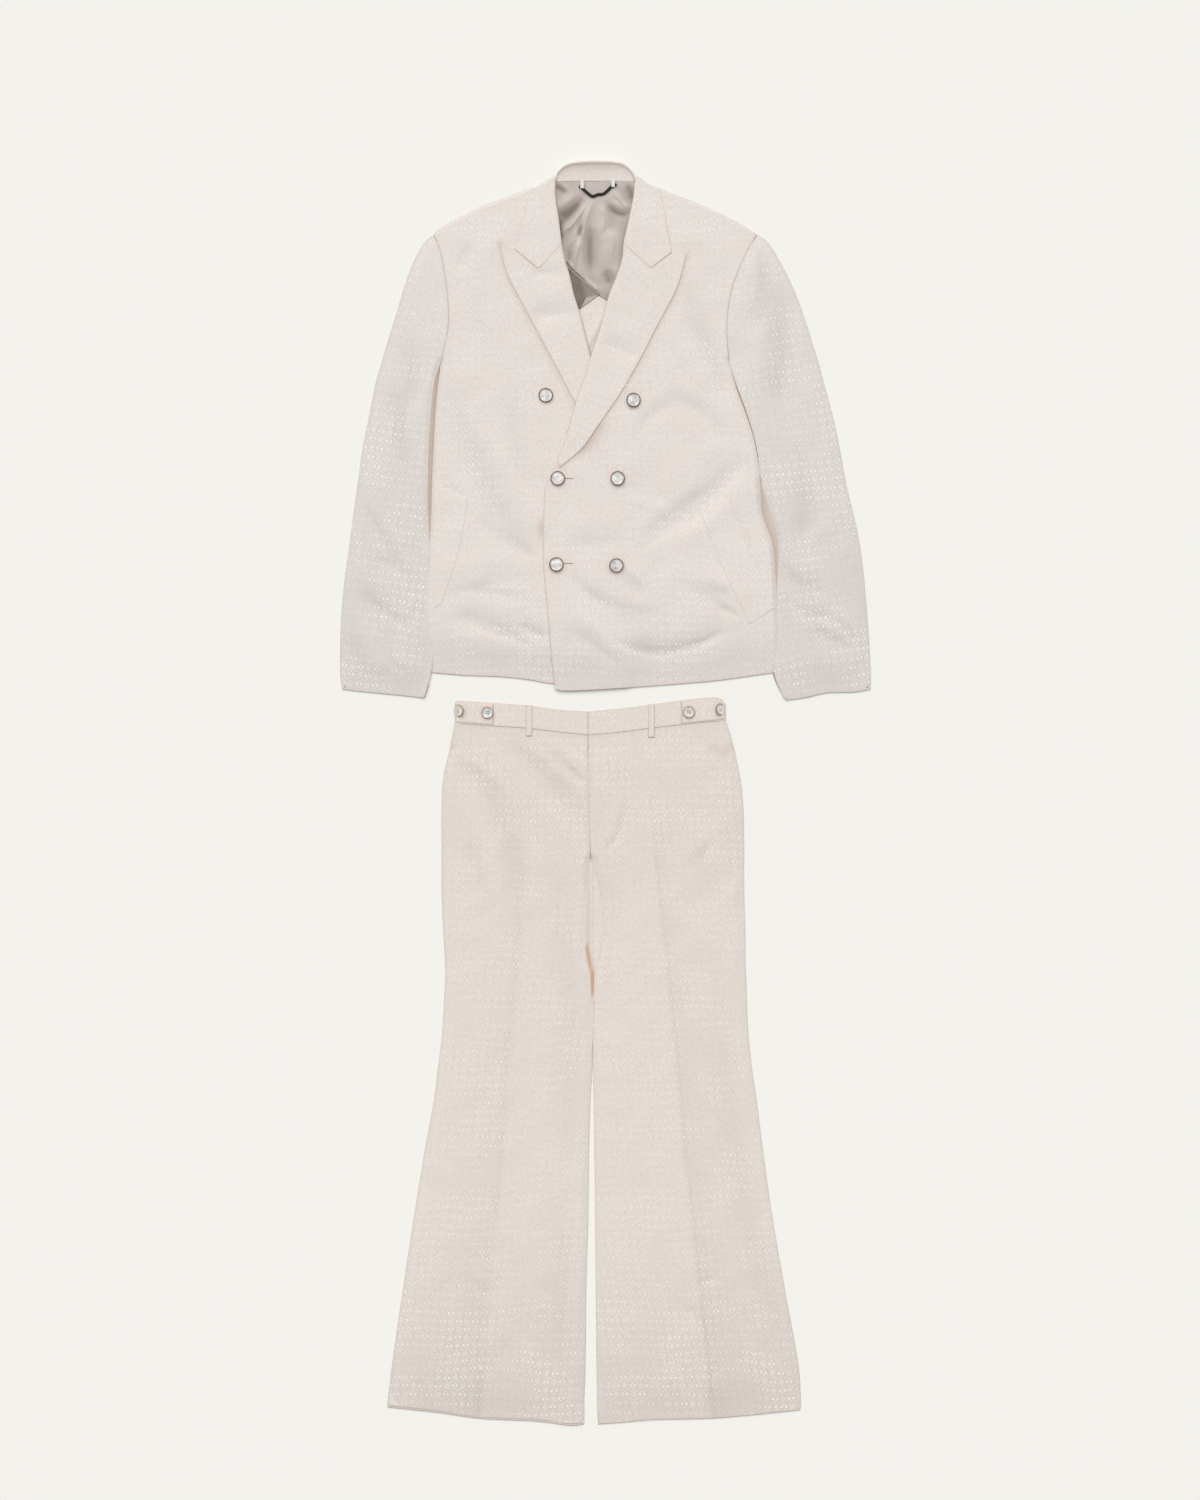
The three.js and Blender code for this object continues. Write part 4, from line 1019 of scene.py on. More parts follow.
def lapel_edges(side):
    leaf = LEAF[side]
    roll = roll_line[side]
    roll = roll[(roll[:, 1] < 780) & (roll[:, 1] > 470)][::-1]
    top = evened(straight(free_edge[side][0], leaf["notch"], leaf["gorge"]), 2.0)
    roll = chain(roll, straight(leaf["gorge"]))
    outer = free_edge[side][::-1]
    low = straight(outer[0], roll[0])
    if side == "right":
        return outer, roll, low, top
    return roll, outer, low[::-1], top[::-1]


def lapel_height(side, under, covered=None):
    gorge = straight(LEAF[side]["notch"], LEAF[side]["gorge"])
    tip = straight(free_edge[side][0], LEAF[side]["notch"])

    def height(x, y):
        from_edge = nearness(free_edge[side], x, y)[0]
        lift = 0.2 * np.exp(-from_edge / 9)
        if covered is not None:
            lift = lift * ease((y - covered) / 60)
        z = under(x, y) + 1.25 + lift + folds(LAPEL_FOLDS, x, y)
        z = dipped(z, free_edge[side], x, y, wide=1.8, tall=0.6)
        z = dipped(z, tip, x, y, wide=1.5, tall=0.5)
        z = dipped(z, gorge, x, y, wide=1.4, tall=0.2)
        return dipped(z, roll_line[side], x, y, wide=4.5, tall=3.0)

    return height


lay(
    "lapel_right", lapel_edges("right"), (60, 130), lapel_height("right", body_loft, 560),
    LAPEL_WALL, jacket_cloth, "jacket_cloth", ["front_right"],
    grain=turned_grain(-0.38), warm=(0.22, 1.8),
)

# %% [markdown]
# The left front lies over the right front and its lapel. Its loft gains their thickness and
# gives it back softly beyond their edges, because cloth bridges a step and never follows it
# sharply. So a covered edge can still be felt, and seen, through the upper cloth.

# %% Left front and lapel
right_outline = ring(front_edges("right"))
lapel_outline = ring(lapel_edges("right"))


def felt(outline, x, y):
    """Share of a covered piece's thickness that is still felt beside its edge."""
    away = nearness(np.vstack([outline, outline[:1]]), x, y)[0]
    return np.where(within(outline, x, y), 1.0, ease(1 - (away - 8) / 45))


def loft_left(x, y):
    return body_loft(x, y) + 2.0 * felt(right_outline, x, y) + 1.9 * felt(lapel_outline, x, y)


def front_left_height(x, y):
    return finish_front(loft_left(x, y), "left", x, y)


lay(
    "front_left", front_edges("left"), (130, 210), front_left_height, CLOTH_WALL,
    jacket_cloth, "jacket_cloth", ["back_left", "front_right"], tone=body_tone,
    tint=tints(beside(free_edge["left"], 5, 0.3), beside(free_edge["left"], 12, 0.4, 535, 470)),
)
lay(
    "lapel_left", lapel_edges("left"), (60, 140), lapel_height("left", loft_left), LAPEL_WALL,
    jacket_cloth, "jacket_cloth", ["front_left"], grain=turned_grain(0.42), warm=(0.22, 1.8),
)

# %% [markdown]
# A collar leaf is the front end of the collar. It lies between the shoulder and the gorge,
# where it meets the lapel, and it is stretched between its edges and raised as the lapel is.


# %% Collar leaves
def leaf_edges(side):
    leaf = LEAF[side]
    roll = roll_line[side]
    roll = chain(straight(leaf["gorge"]), roll[roll[:, 1] > 780][::-1])
    outer = straight(leaf["point"], leaf["side"], leaf["shoulder"])
    low = evened(straight(leaf["point"], leaf["notch"], leaf["gorge"]), 2.0)
    kept = shoulder[side][(shoulder[side][:, 1] > 860)]
    top = chain(outer[-1:], kept[::-1], roll[-1:])
    if side == "right":
        return outer, roll, low, top
    return roll, outer, low[::-1], top[::-1]


def leaf_height(side, under):
    leaf = LEAF[side]
    gorge = straight(leaf["notch"], leaf["gorge"])
    outer = straight(leaf["notch"], leaf["point"], leaf["side"], leaf["shoulder"])

    def height(x, y):
        z = under(x, y) + 1.25
        z = dipped(z, outer, x, y, wide=1.8, tall=0.6)
        z = dipped(z, gorge, x, y, wide=1.4, tall=0.2)
        z = turned(z, shoulder[side], x, y, wide=3, low=1.6)
        return dipped(z, roll_line[side], x, y, wide=4, tall=2.2)

    return height


LOFT = {"right": body_loft, "left": loft_left}
for side, under in LOFT.items():
    lay(
        f"collar_leaf_{side}", leaf_edges(side), (40, 60), leaf_height(side, under),
        LAPEL_WALL, jacket_cloth, "jacket_cloth", [f"front_{side}"], warm=(0.14, 1.8),
    )

# %% [markdown]
# At the back of the neck the collar stands up from its seam, folds over and drops behind.
# Stand and fall are one band of cloth here: a grid whose rows are carried up the stand, over
# the fold and down the other side.

# %% Collar band
COLLAR_FOLD = drawn([
    (-70, 868), (-67, 881), (-55, 892), (-36, 896), (-11, 897),
    (13, 896), (28, 892), (39, 881), (42, 868),
])
NECK_SEAM = 868
COLLAR_SHOWN = 29  # from the neck seam to the fold, seen from above
COLLAR_RIM = 4.5  # the part of it that the rolled fold takes


def collar_band(name, cells):
    """u runs along the collar, v up the stand to 0.5 and then over the fold and down."""
    bm = bmesh.new()
    bmesh.ops.create_grid(bm, x_segments=cells[0], y_segments=cells[1], size=0.5)
    grain = bm.loops.layers.uv.new("grain")
    threads = {}
    for vert in bm.verts:
        u, v = vert.co.x + 0.5, vert.co.y + 0.5
        fold = along(COLLAR_FOLD, np.array([u]))[0]
        seam_x = COLLAR_FOLD[0, 0] + u * (COLLAR_FOLD[-1, 0] - COLLAR_FOLD[0, 0])
        seam = np.array([seam_x, NECK_SEAM])
        rim = seam + (1 - COLLAR_RIM / COLLAR_SHOWN) * (fold - seam)
        high = 6.4 + 4.4 * math.sin(math.pi * u)
        if v < 0.5:
            x, y = seam + v * 2 * (rim - seam)
            z = 4.1 + (high - 5.3) * (0.3 * v * 2 + 0.7 * (v * 2) ** 4)
        else:
            over = (v - 0.5) * 2
            x, y = rim + min(1, over * 1.6) * (fold - rim)
            z = high - 1.2 + 1.2 * math.sin(min(1, over * 3) * math.pi / 2)
            z -= (high - 1.0) * ease(max(0, over - 0.4) / 0.6)
        vert.co = ((x + SHIFT[0]) * MM, (y + SHIFT[1]) * MM, z * MM)
        threads[vert] = (u * 0.13, v * 0.06)
    for face in bm.faces:
        face.smooth = True
        for loop in face.loops:
            loop[grain].uv = threads[loop.vert]
    mesh = mesh_of(name, bm)
    rows = np.repeat(np.linspace(0, 1, cells[1] + 1), cells[0] + 1)
    # Painted tan shade in the fold of the collar, a lighter painted shade over the fall beyond it,
    # and a trace all over.
    crease = 0.3 * np.exp(-(((rows - 0.5) / 0.04) ** 2)) + 0.12 * (rows > 0.52)
    mark(mesh, "edge", crease + 0.04)
    mark(mesh, "tone", 0 * rows)
    return walled(placed(name, mesh), LAPEL_WALL)


band = collar_band("collar_band", (80, 40))
band.data.materials.append(jacket_cloth)
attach(band, "root")
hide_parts("collar_stand", "collar_fall")
print("collar band:", len(band.data.vertices), "points")

# %% [markdown]
# A welt is the narrow strip that edges a slanted pocket. It lies on the front and is sewn
# down all round, so it takes the front's height and its edges only dip.

# %% Pocket welts
WELT = {
    "right": (straight((-243, 262), (-236, 438)), drawn([(-232, 268), (-207, 345), (-194, 419)])),
    "left": (drawn([(205, 240), (168, 317), (136, 395)]), straight((241, 262), (173, 424))),
}


def welt_height(side, under):
    left, right = WELT[side]
    rim = np.vstack([left, right[::-1], left[:1]])

    def height(x, y):
        z = dipped(under(x, y) + 0.45, rim, x, y, wide=2.0, tall=0.4)
        return turned(z, front_side[side], x, y, wide=5, low=1.4)

    return height


for side, under in LOFT.items():
    left, right = WELT[side]
    edges = (left, right, straight(left[0], right[0]), straight(left[-1], right[-1]))
    lay(
        f"pocket_welt_{side}", edges, (40, 80), welt_height(side, under), 0.8,
        jacket_cloth, "jacket_cloth", [f"front_{side}"], warm=(0.06, 1.5), tone=body_tone,
    )

# %% [markdown]
# Each trouser leg is pressed with a sharp crease down its middle, flares from the knee and is
# fullest at the hem. The legs part below the crotch, where the back of the trousers shows.
# Front and back again share one table of levels.

# %% Trouser pattern
# level, right outer, right inner, right seat, left seat, left inner, left outer
LEG = np.array([
    [60, -221, -24, -18, -18, -24, 184], [20, -230, -23, -18, -18, -23, 192],
    [-20, -232, -23, -17, -17, -23, 196], [-60, -232, -22, -17, -17, -22, 197],
    [-98, -232, -21, -17, -17, -19, 197], [-132, -232, -22, -17, -17, -9, 197],
    [-170, -231, -24, -17, -17, -4, 198], [-210, -229, -27, -17, -17, -5, 199],
    [-240, -227, -23, -17, -17, -12, 199], [-262, -227, -19, -18, -17, -15, 200],
    [-337, -231, -17.6, -17.6, -17.1, -17.1, 203], [-388, -237, -18.4, -18.4, -17.2, -17.2, 208],
    [-436, -243, -21, -21, -16, -16, 215], [-507, -256, -23, -23, -15, -15, 224],
    [-599, -271, -24, -24, -14, -14, 237], [-704, -287, -27, -27, -13, -13, 255],
    [-809, -302, -28, -28, -12, -12, 274], [-866, -309, -30, -30, -11, -11, 278],
])
LEG_COLUMN = {"right": (1, 2, 3), "left": (6, 5, 4)}
WAIST = np.array([
    [-213, 99, 129], [-203, 98, 131], [-159, 95, 128], [-114, 92, 125], [-70, 87, 119],
    [-24, 82, 116], [20, 86, 120], [66, 92, 126], [110, 97, 132], [150, 101, 136],
    [164, 102, 134], [171, 103, 126],
])
LEG_HEM = {
    "right": [(-30, -896), (-50, -898), (-97, -892), (-176, -888), (-242, -879), (-309, -872)],
    "left": [(-10, -896), (20, -894), (67, -890), (146, -888), (199, -884), (277, -876)],
}
FRONT_CENTRE, CROTCH = -24, -98
waist_rows = {
    "right": WAIST[WAIST[:, 0] <= FRONT_CENTRE], "left": WAIST[WAIST[:, 0] >= FRONT_CENTRE],
}
waist_seam = {side: drawn(waist_rows[side][:, :2]) for side in SIDES}
leg_hem = {side: drawn(LEG_HEM[side]) for side in SIDES}


def leg_edges(side, inner_column, centre, rows=LEG):
    outer = levels(rows, LEG_COLUMN[side][0], 60, -866)
    inner = levels(rows, inner_column, 60, -866)
    seam = waist_seam[side]
    outer_top, inner_top = (seam[:1], seam[-1:]) if side == "right" else (seam[-1:], seam[:1])
    outer = chain(outer_top, outer, leg_hem[side][-1:])[::-1]
    inner = chain(straight((centre, inner_top[0, 1])), inner, leg_hem[side][:1])[::-1]
    if side == "right":
        return outer, inner, leg_hem[side][::-1], seam
    return inner, outer, leg_hem[side], seam


print("inseam about", round(CROTCH - LEG_HEM["right"][0][1]), "mm")

# %% [markdown]
# The back legs show at the crotch alone, in the gap between the front legs. They are flat
# and coarse, and drawn in from the edges. The gap lies in warm shade, and shade painted on
# the cloth shows that better than a lamp so small would.

# %% Back legs
CROTCH_SHADOW = ([(-26, -222), (-21, -244)], [(-18, -254), (-19, -288)])


def painted_crotch_shade(x, y):
    """Painted shade in the narrow gap at the crotch, in the warm colour of the light caught there.
    """
    gap = 0.4 * np.exp(-(((x + 24) / 2.5) ** 2)) * ease((-110 - y) / 20)
    for line in CROTCH_SHADOW:
        gap = gap + 1.7 * np.exp(-((nearness(straight(*line), x, y)[0] / 3) ** 2))
    return gap


def seat_height(side):
    """The right half laps over the left by a hair's breadth at the seat seam."""
    return lambda x, y: np.full_like(x, BACK_TOP + 0.2 * (side == "right"))


SEAT_SEAM, PULL = -17.2, 2.2
for side, inward in (("right", 1), ("left", -1)):
    seat, column = LEG.copy(), LEG_COLUMN[side][2]
    middle = SEAT_SEAM + inward * (PULL + 0.1)
    seat[seat[:, 0] > -350, column] = middle
    lay(
        f"leg_back_{side}", leg_edges(side, column, middle, seat), (60, 160),
        seat_height(side), CLOTH_WALL, trouser_cloth, "trouser_cloth", ["table"],
        pull=PULL, crowd=0.6, warm=(0.0, 1.0), tint=painted_crotch_shade,
    )

back_band_edges = (
    straight(WAIST[0, [0, 1]], WAIST[0, [0, 2]]), straight(WAIST[-1, [0, 1]], WAIST[-1, [0, 2]]),
    drawn(WAIST[:, [0, 1]]), drawn(WAIST[:, [0, 2]]),
)
lay(
    "waistband_back", back_band_edges, (40, 6), flat_back, CLOTH_WALL,
    trouser_cloth, "trouser_cloth", ["table"], pull=1.5, crowd=0,
)

# %% [markdown]
# A second layer of cloth lies behind the front opening. No side of it shows, so a small flat
# grid stands for it.

# %% Fly piece
fly_edges = (
    drawn([(-31, -58), (-31, 79)]), drawn([(24, -12), (24, 79)]),
    drawn([(-31, -58), (-18, -72), (2, -62), (24, -12)]), straight((-31, 79), (24, 79)),
)
lay(
    "fly_piece", fly_edges, (14, 30), lambda x, y: np.full_like(x, 2.6), 0.8,
    trouser_cloth, "trouser_cloth", ["leg_back_left", "leg_back_right"], crowd=0,
)

# %% [markdown]
# The front legs keep long soft folds, small crumples at the fly and the side seams, and
# short puckers above the hem. They are listed like those of the jacket. The puckers are
# alike, so a loop adds them.

# %% Creases and folds of the legs
CREASES = {
    "right": [(-112, -100), (-120, -192), (-141, -425), (-147, -528), (-166, -690), (-179, -886)],
    "left": [(60, 0), (71, -115), (92, -294), (113, -514), (132, -699), (152, -888)],
}
LEG_FOLDS = [
    (-224, 43, -145, -37, -124, -200, -18, -1.6), (-145, 85, -75, 11, -27, -57, -18, -1.4),
    (2, -89, 5, -220, 1, -342, 22, -1), (-75, -89, -47, -301, -55, -568, 26, -1.4),
    (-55, -568, -59, -710, -59, -853, 24, -1.2), (128, -81, 141, -114, 160, -183, 18, -1),
    (189, -50, 180, -96, 173, -142, 16, -1), (156, -220, 193, -548, 268, -819, 24, -1.5),
    (-84, 65, -56, 38, -28, 11, 12, -1), (141, 65, 162, 60, 182, 53, 12, -1),
    (132, -699, 146, -692, 160, -683, 8, -0.6), (116, -723, 130, -744, 145, -764, 8, -0.6),
    (-206, -683, -186, -697, -165, -711, 8, -0.6), (95, -845, 108, -866, 121, -886, 8, -0.6),
    (-218, 45, -171, 17, -144, -20, 8, -0.8), (-147, 85, -88, 32, -33, -26, 8, -0.7),
    (-84, 79, -83, 70, -81, 60, 4, -0.6), (-48, 72, -38, 60, -27, 45, 4, -0.7),
    (-58, 42, -44, 29, -30, 14, 4, -0.7), (-8, -75, 16, -64, 28, -8, 6, -0.8),
    (149, 66, 164, 57, 180, 51, 5, -0.7), (149, -69, 142, -84, 136, -100, 7, -0.8),
    (-36, -10, -31, -34, -26, -62, 3, -0.5), (-205, -60, -180, -110, -170, -160, 12, -0.8),
]
for at in (-230, -160, -118, -62, 52, 98, 168, 214):
    low = -886 if at > -200 else -876
    LEG_FOLDS.append((at, low, at + 2, low + 12, at + 3, low + 26, 4, -0.5))
print("folds of the legs:", len(LEG_FOLDS))

# %% [markdown]
# A front leg rises from its edges to a low crown, and the pressed crease stands on it as a
# sharp ridge. Light from above hardly shows so low a ridge, so painted shade darkens the side
# of each crease that turns outwards, with a thin line along it. Painted shade also darkens the
# legs near the waist and towards the hems, and in the troughs of their folds.


# %% Front legs
def leg_height(side):
    outer = levels(LEG, LEG_COLUMN[side][0], 60, -866)
    inner = levels(LEG, LEG_COLUMN[side][1], CROTCH, -866)
    fly = straight((FRONT_CENTRE, 90), (FRONT_CENTRE, CROTCH))
    crease = drawn(CREASES[side])

    def height(x, y):
        below = ease((CROTCH - y) / 60)
        from_inner = 1 - below + below * ease(nearness(inner, x, y)[0] / 50)
        crown = 1.9 * ease(nearness(outer, x, y)[0] / 50) * from_inner * ease((90 - y) / 60)
        from_crease = nearness(crease, x, y)[0]
        pressed = 1.5 * np.exp(-from_crease / 11) * ease((60 - y) / 160)
        z = 3.4 + crown + pressed + (folds(LEG_FOLDS, x, y) + ripple(x, y)) * ease((80 - y) / 40)
        z = kept_above(z, 2.9)
        if side == "left":
            z = z + 0.5 * np.exp(-nearness(fly, x, y)[0] / 14)
        z = flattened(z, outer, x, y)
        z = flattened(z, inner, x, y, wide=12)
        z = dipped(z, fly, x, y, wide=1.6, tall=0.8)
        z = flattened(z, leg_hem[side], x, y, wide=60)
        return dipped(z, waist_seam[side], x, y, wide=1.6, tall=0.1)

    return height


def leg_tone(side):
    crease = drawn(CREASES[side])

    def tone(x, y):
        away, hand, _ = nearness(crease, x, y)
        outward = hand * (1 if side == "left" else -1) > 0
        wide = 14 + 26 * ease((-100 - y) / 500)
        band = 0.28 * np.exp(-away / wide) * outward * ease((20 - y) / 120)
        line = 0.2 * np.exp(-((away / 2.5) ** 2)) * ease((-100 - y) / 200)
        ends = 0.12 * ease((y + 220) / 200) + 0.38 * ease((-560 - y) / 320)
        return ends + band + line + trough_tone(LEG_FOLDS)(x, y)

    return tone


def leg_grain(side):
    crease = np.array(CREASES[side])[::-1]
    return lambda x, y: (x - np.interp(y, crease[:, 1], crease[:, 0]), y)


for side in SIDES:
    lay(
        f"leg_front_{side}", leg_edges(side, LEG_COLUMN[side][1], FRONT_CENTRE), (96, 260),
        leg_height(side), CLOTH_WALL, trouser_cloth, "trouser_cloth", [f"leg_back_{side}"],
        grain=leg_grain(side), warm=(0.2, 2.5), tone=leg_tone(side),
    )

# %% [markdown]
# The waistband is stiff and lies flat. A tab ends it at each side, and a belt loop is sewn
# over it near each front. All of them are strips, so one height function serves them all.

# %% Waistband, tabs and belt loops
BAND_TOP, TAB_TOP, BELT_LOOP_TOP = 4.2, 5.2, 5.3
BAND_ENDS = (-213, 171)


def flat_strip(rim, top):
    """A stiff strip that bends down to the table only at the ends of the waist."""
    def height(x, y):
        from_end = np.minimum(x - BAND_ENDS[0], BAND_ENDS[1] - x)
        bent = 0.6 + (top - 0.6) * quarter_round(from_end + 2.5, 16)
        return dipped(bent, rim, x, y, wide=1.6, tall=0.5)

    return height


def strip_edges(low_left, low_right, high_right, high_left):
    return (
        straight(low_left, high_left), straight(low_right, high_right),
        straight(low_left, low_right), straight(high_left, high_right),
    )


for side in SIDES:
    rows = waist_rows[side]
    edges = (
        straight(rows[0, [0, 1]], rows[0, [0, 2]]), straight(rows[-1, [0, 1]], rows[-1, [0, 2]]),
        waist_seam[side], drawn(rows[:, [0, 2]]),
    )
    rim = chain(edges[2], edges[3][::-1], edges[2][:1])
    lay(
        f"waistband_front_{side}", edges, (120, 26), flat_strip(rim, BAND_TOP), 1.6,
        trouser_cloth, "trouser_cloth", ["waistband_back"], warm=(0.3, 1.6),
    )


def waist_at(x, column):
    return float(np.interp(x, WAIST[:, 0], WAIST[:, column]))


for side, start, end in (("right", -212, -158), ("left", 108, 169)):
    corners = [(start, waist_at(start, 1) + 2), (end, waist_at(end, 1) + 2)]
    corners += [(end, waist_at(end, 2) - 2), (start, waist_at(start, 2) - 2)]
    rim = straight(*corners, corners[0])
    inner_end = end if side == "right" else start
    lay(
        f"side_tab_{side}", strip_edges(*corners), (40, 24), flat_strip(rim, TAB_TOP), 1.0,
        trouser_cloth, "trouser_cloth", [f"waistband_front_{side}"], warm=(0.22, 1.6),
        tint=lambda x, y: 0.7 * np.exp(-(((x - inner_end) / 1.5) ** 2)),
    )

for side, x, low, high in (("right", -108, 81, 125), ("left", 66, 79, 126)):
    corners = [(x - 4.5, low), (x + 4.5, low), (x + 4.5, high), (x - 4.5, high)]
    rim = straight(*corners, corners[0])
    lay(
        f"belt_loop_{side}", strip_edges(*corners), (16, 40), flat_strip(rim, BELT_LOOP_TOP), 1.0,
        trouser_cloth, "trouser_cloth", [f"waistband_front_{side}"],
        cut=((0.0102, 0.047), 0.00047), warm=(0.5, 1.3),
    )

# %% [markdown]
# The buttons are pearl set in a dark metal rim. Each is a half profile spun a full turn about
# its own axis and then moved to its place, some of them tilted as they lie in the picture.

# %% Button finishes
rim_metal, tree, shader = new_material("button rim")
shader.inputs["Base Color"].default_value = linear(126, 80, 44)
shader.inputs["Roughness"].default_value = 0.65
horn, tree, shader = new_material("trouser button rim")
shader.inputs["Base Color"].default_value = linear(176, 140, 104)
shader.inputs["Roughness"].default_value = 0.4
pearl, tree, shader = new_material("pearl")
spot = add(tree, "ShaderNodeTexCoord").outputs["Object"]
cloud = soft_step(tree, noise(tree, spot, 160.0, 2.0), 0.35, 0.65)
lustre = mix(tree, cloud, linear(236, 236, 234), linear(196, 195, 194))
tree.links.new(lustre, shader.inputs["Base Color"])
shader.inputs["Roughness"].default_value = 0.22
print("button finishes:", rim_metal.name, horn.name, pearl.name)

# %% [markdown]
# A turned button is round about its axis, so half of its outline says everything, and the
# spin operator makes the solid from that line. The faces near the middle take the pearl and
# the others keep the rim.

# %% Spinning a button
# radius and height along the outline, from the middle of the back to the middle of the face
JACKET_PROFILE = [
    (0.0, 0.3), (8.0, 0.3), (9.8, 1.3), (10.1, 2.4), (9.8, 3.0), (9.3, 3.2),
    (8.9, 2.8), (8.7, 2.5), (5.5, 3.0), (2.5, 3.25), (0.0, 3.3),
]
TROUSER_PROFILE = [
    (0.0, 0.3), (6.6, 0.3), (8.2, 1.2), (8.5, 2.3), (8.1, 2.9), (7.4, 3.1),
    (6.9, 2.7), (6.5, 2.3), (4.0, 2.1), (0.0, 2.1),
]


def button(name, profile, x, y, z, pearl_radius, tilt, rim):
    """tilt is in degrees, first about the line across and then about the line upwards."""
    bm = bmesh.new()
    line = [bm.verts.new((r, 0, h)) for r, h in profile]
    edges = [bm.edges.new(pair) for pair in zip(line[:-1], line[1:])]
    bmesh.ops.spin(
        bm, geom=line + edges, cent=(0, 0, 0), axis=(0, 0, 1), angle=2 * math.pi, steps=40,
        use_merge=True,
    )
    bmesh.ops.remove_doubles(bm, verts=bm.verts, dist=0.001)
    bmesh.ops.recalc_face_normals(bm, faces=bm.faces)
    for face in bm.faces:
        centre = face.calc_center_median()
        face.smooth = True
        face.material_index = int(math.hypot(centre.x, centre.y) < pearl_radius and centre.z > 1.5)
    pose = Matrix.Translation((x + SHIFT[0], y + SHIFT[1], z))
    pose = pose @ Euler((math.radians(tilt[0]), math.radians(tilt[1]), 0)).to_matrix().to_4x4()
    bm.transform(Matrix.Scale(MM, 4) @ pose)
    piece = placed(name + "_pearl", mesh_of(name, bm))
    piece.data.materials.append(rim)
    piece.data.materials.append(pearl)
    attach(piece, "root")
    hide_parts(name)
    return piece


def top_at(height, x, y):
    """Height of the cloth at one place."""
    return float(height(np.array([float(x)]), np.array([float(y)]))[0])


for name, profile in (("jacket", JACKET_PROFILE), ("trouser", TROUSER_PROFILE)):
    print(name, "button", 2 * max(radius for radius, _ in profile), "mm across")

# %% [markdown]
# Two columns of three buttons close the front. The height under each is measured with the
# function that laid the cloth, so every button rests on it. A tilted button is raised, so
# that its low edge doesn't sink in.

# %% Jacket buttons
# name, place, cloth below, tilt
JACKET_BUTTONS = [
    ("button_top_right", -84, 564, body_loft, (0, 0)),
    ("button_top_left", 40, 557, loft_left, (0, 9)),
    ("button_middle_right", -67, 446, loft_left, (0, 0)),
    ("button_middle_left", 18, 446, loft_left, (2, -3)),
    ("button_bottom_right", -69, 324, loft_left, (0, 2)),
    ("button_bottom_left", 16, 323, loft_left, (14, 4)),
]
for name, x, y, height, tilt in JACKET_BUTTONS:
    raised = 0.6 + 10 * math.sin(math.radians(max(map(abs, tilt))))
    z = top_at(height, x, y) + raised
    piece = button(name, JACKET_PROFILE, x, y, z, 8.6, tilt, rim_metal)
    print(name, "rests", round(z, 2), "mm above the table")

# %% [markdown]
# A side tab can be closed at one of two buttons. The outer one hangs over the end of the
# waistband, so it is tilted far outwards.

# %% Trouser buttons
TROUSER_BUTTONS = [
    ("trouser_button_outer_right", -206, 117, (0, -40)),
    ("trouser_button_inner_right", -167, 114, (0, 0)),
    ("trouser_button_inner_left", 119, 115, (0, 0)),
    ("trouser_button_outer_left", 162, 119, (0, 40)),
]
for name, x, y, tilt in TROUSER_BUTTONS:
    raised = 0.3 - 0.6 * math.sin(math.radians(max(map(abs, tilt))))
    piece = button(name, TROUSER_PROFILE, x, y, TAB_TOP + raised, 7.2, tilt, horn)
    print(name, "faces", len(piece.data.polygons))

# %% [markdown]
# Threads and cords are thin curves with a round bevel, made into a mesh at once. A tube
# could be extruded step by step, but a curve keeps its round section along any path.


# %% Threads and cords
def strands(name, paths, radius, material):
    curve = bpy.data.curves.new(name, "CURVE")
    curve.dimensions = "3D"
    curve.bevel_depth = radius * MM
    curve.bevel_resolution = 2
    curve.use_fill_caps = True
    for path in paths:
        spline = curve.splines.new("POLY")
        spline.points.add(len(path) - 1)
        for point, (x, y, z) in zip(spline.points, path):
            point.co = ((x + SHIFT[0]) * MM, (y + SHIFT[1]) * MM, z * MM, 1)
    drawn_curve = bpy.data.objects.new(name + " line", curve)
    mesh = bpy.data.meshes.new_from_object(drawn_curve)
    bpy.data.objects.remove(drawn_curve)
    mesh.name = name
    mesh.materials.clear()
    mesh.materials.append(material)
    mesh.shade_smooth()
    piece = placed(name, mesh)
    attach(piece, "root")
    return piece


def plain(name, colour, rough):
    """A material of one colour with a fine grit in it."""
    material, tree, shader = new_material(name)
    spot = add(tree, "ShaderNodeTexCoord").outputs["Object"]
    darker = [c * 0.8 for c in linear(*colour)[:3]] + [1]
    speckled = mix(tree, noise(tree, spot, 700.0, 1.0), linear(*colour), darker)
    tree.links.new(speckled, shader.inputs["Base Color"])
    shader.inputs["Roughness"].default_value = rough
    return material


black_cord = plain("black cord", (34, 31, 30), 0.6)
white_tab = plain("white tab", (238, 236, 232), 0.5)
brown_thread = plain("buttonhole thread", (168, 146, 124), 0.8)
cream_piping = plain("cream piping", (216, 205, 196), 0.6)
print("threads:", black_cord.name, "and", brown_thread.name)

# %% [markdown]
# The hanger loop at the neck is a black cord of two strands, twisted round each other, with
# a white tab at each end. Each strand circles round the same path, half a turn behind the
# other. Turning a straight twisted cord to the path's form would squash it at the bends.

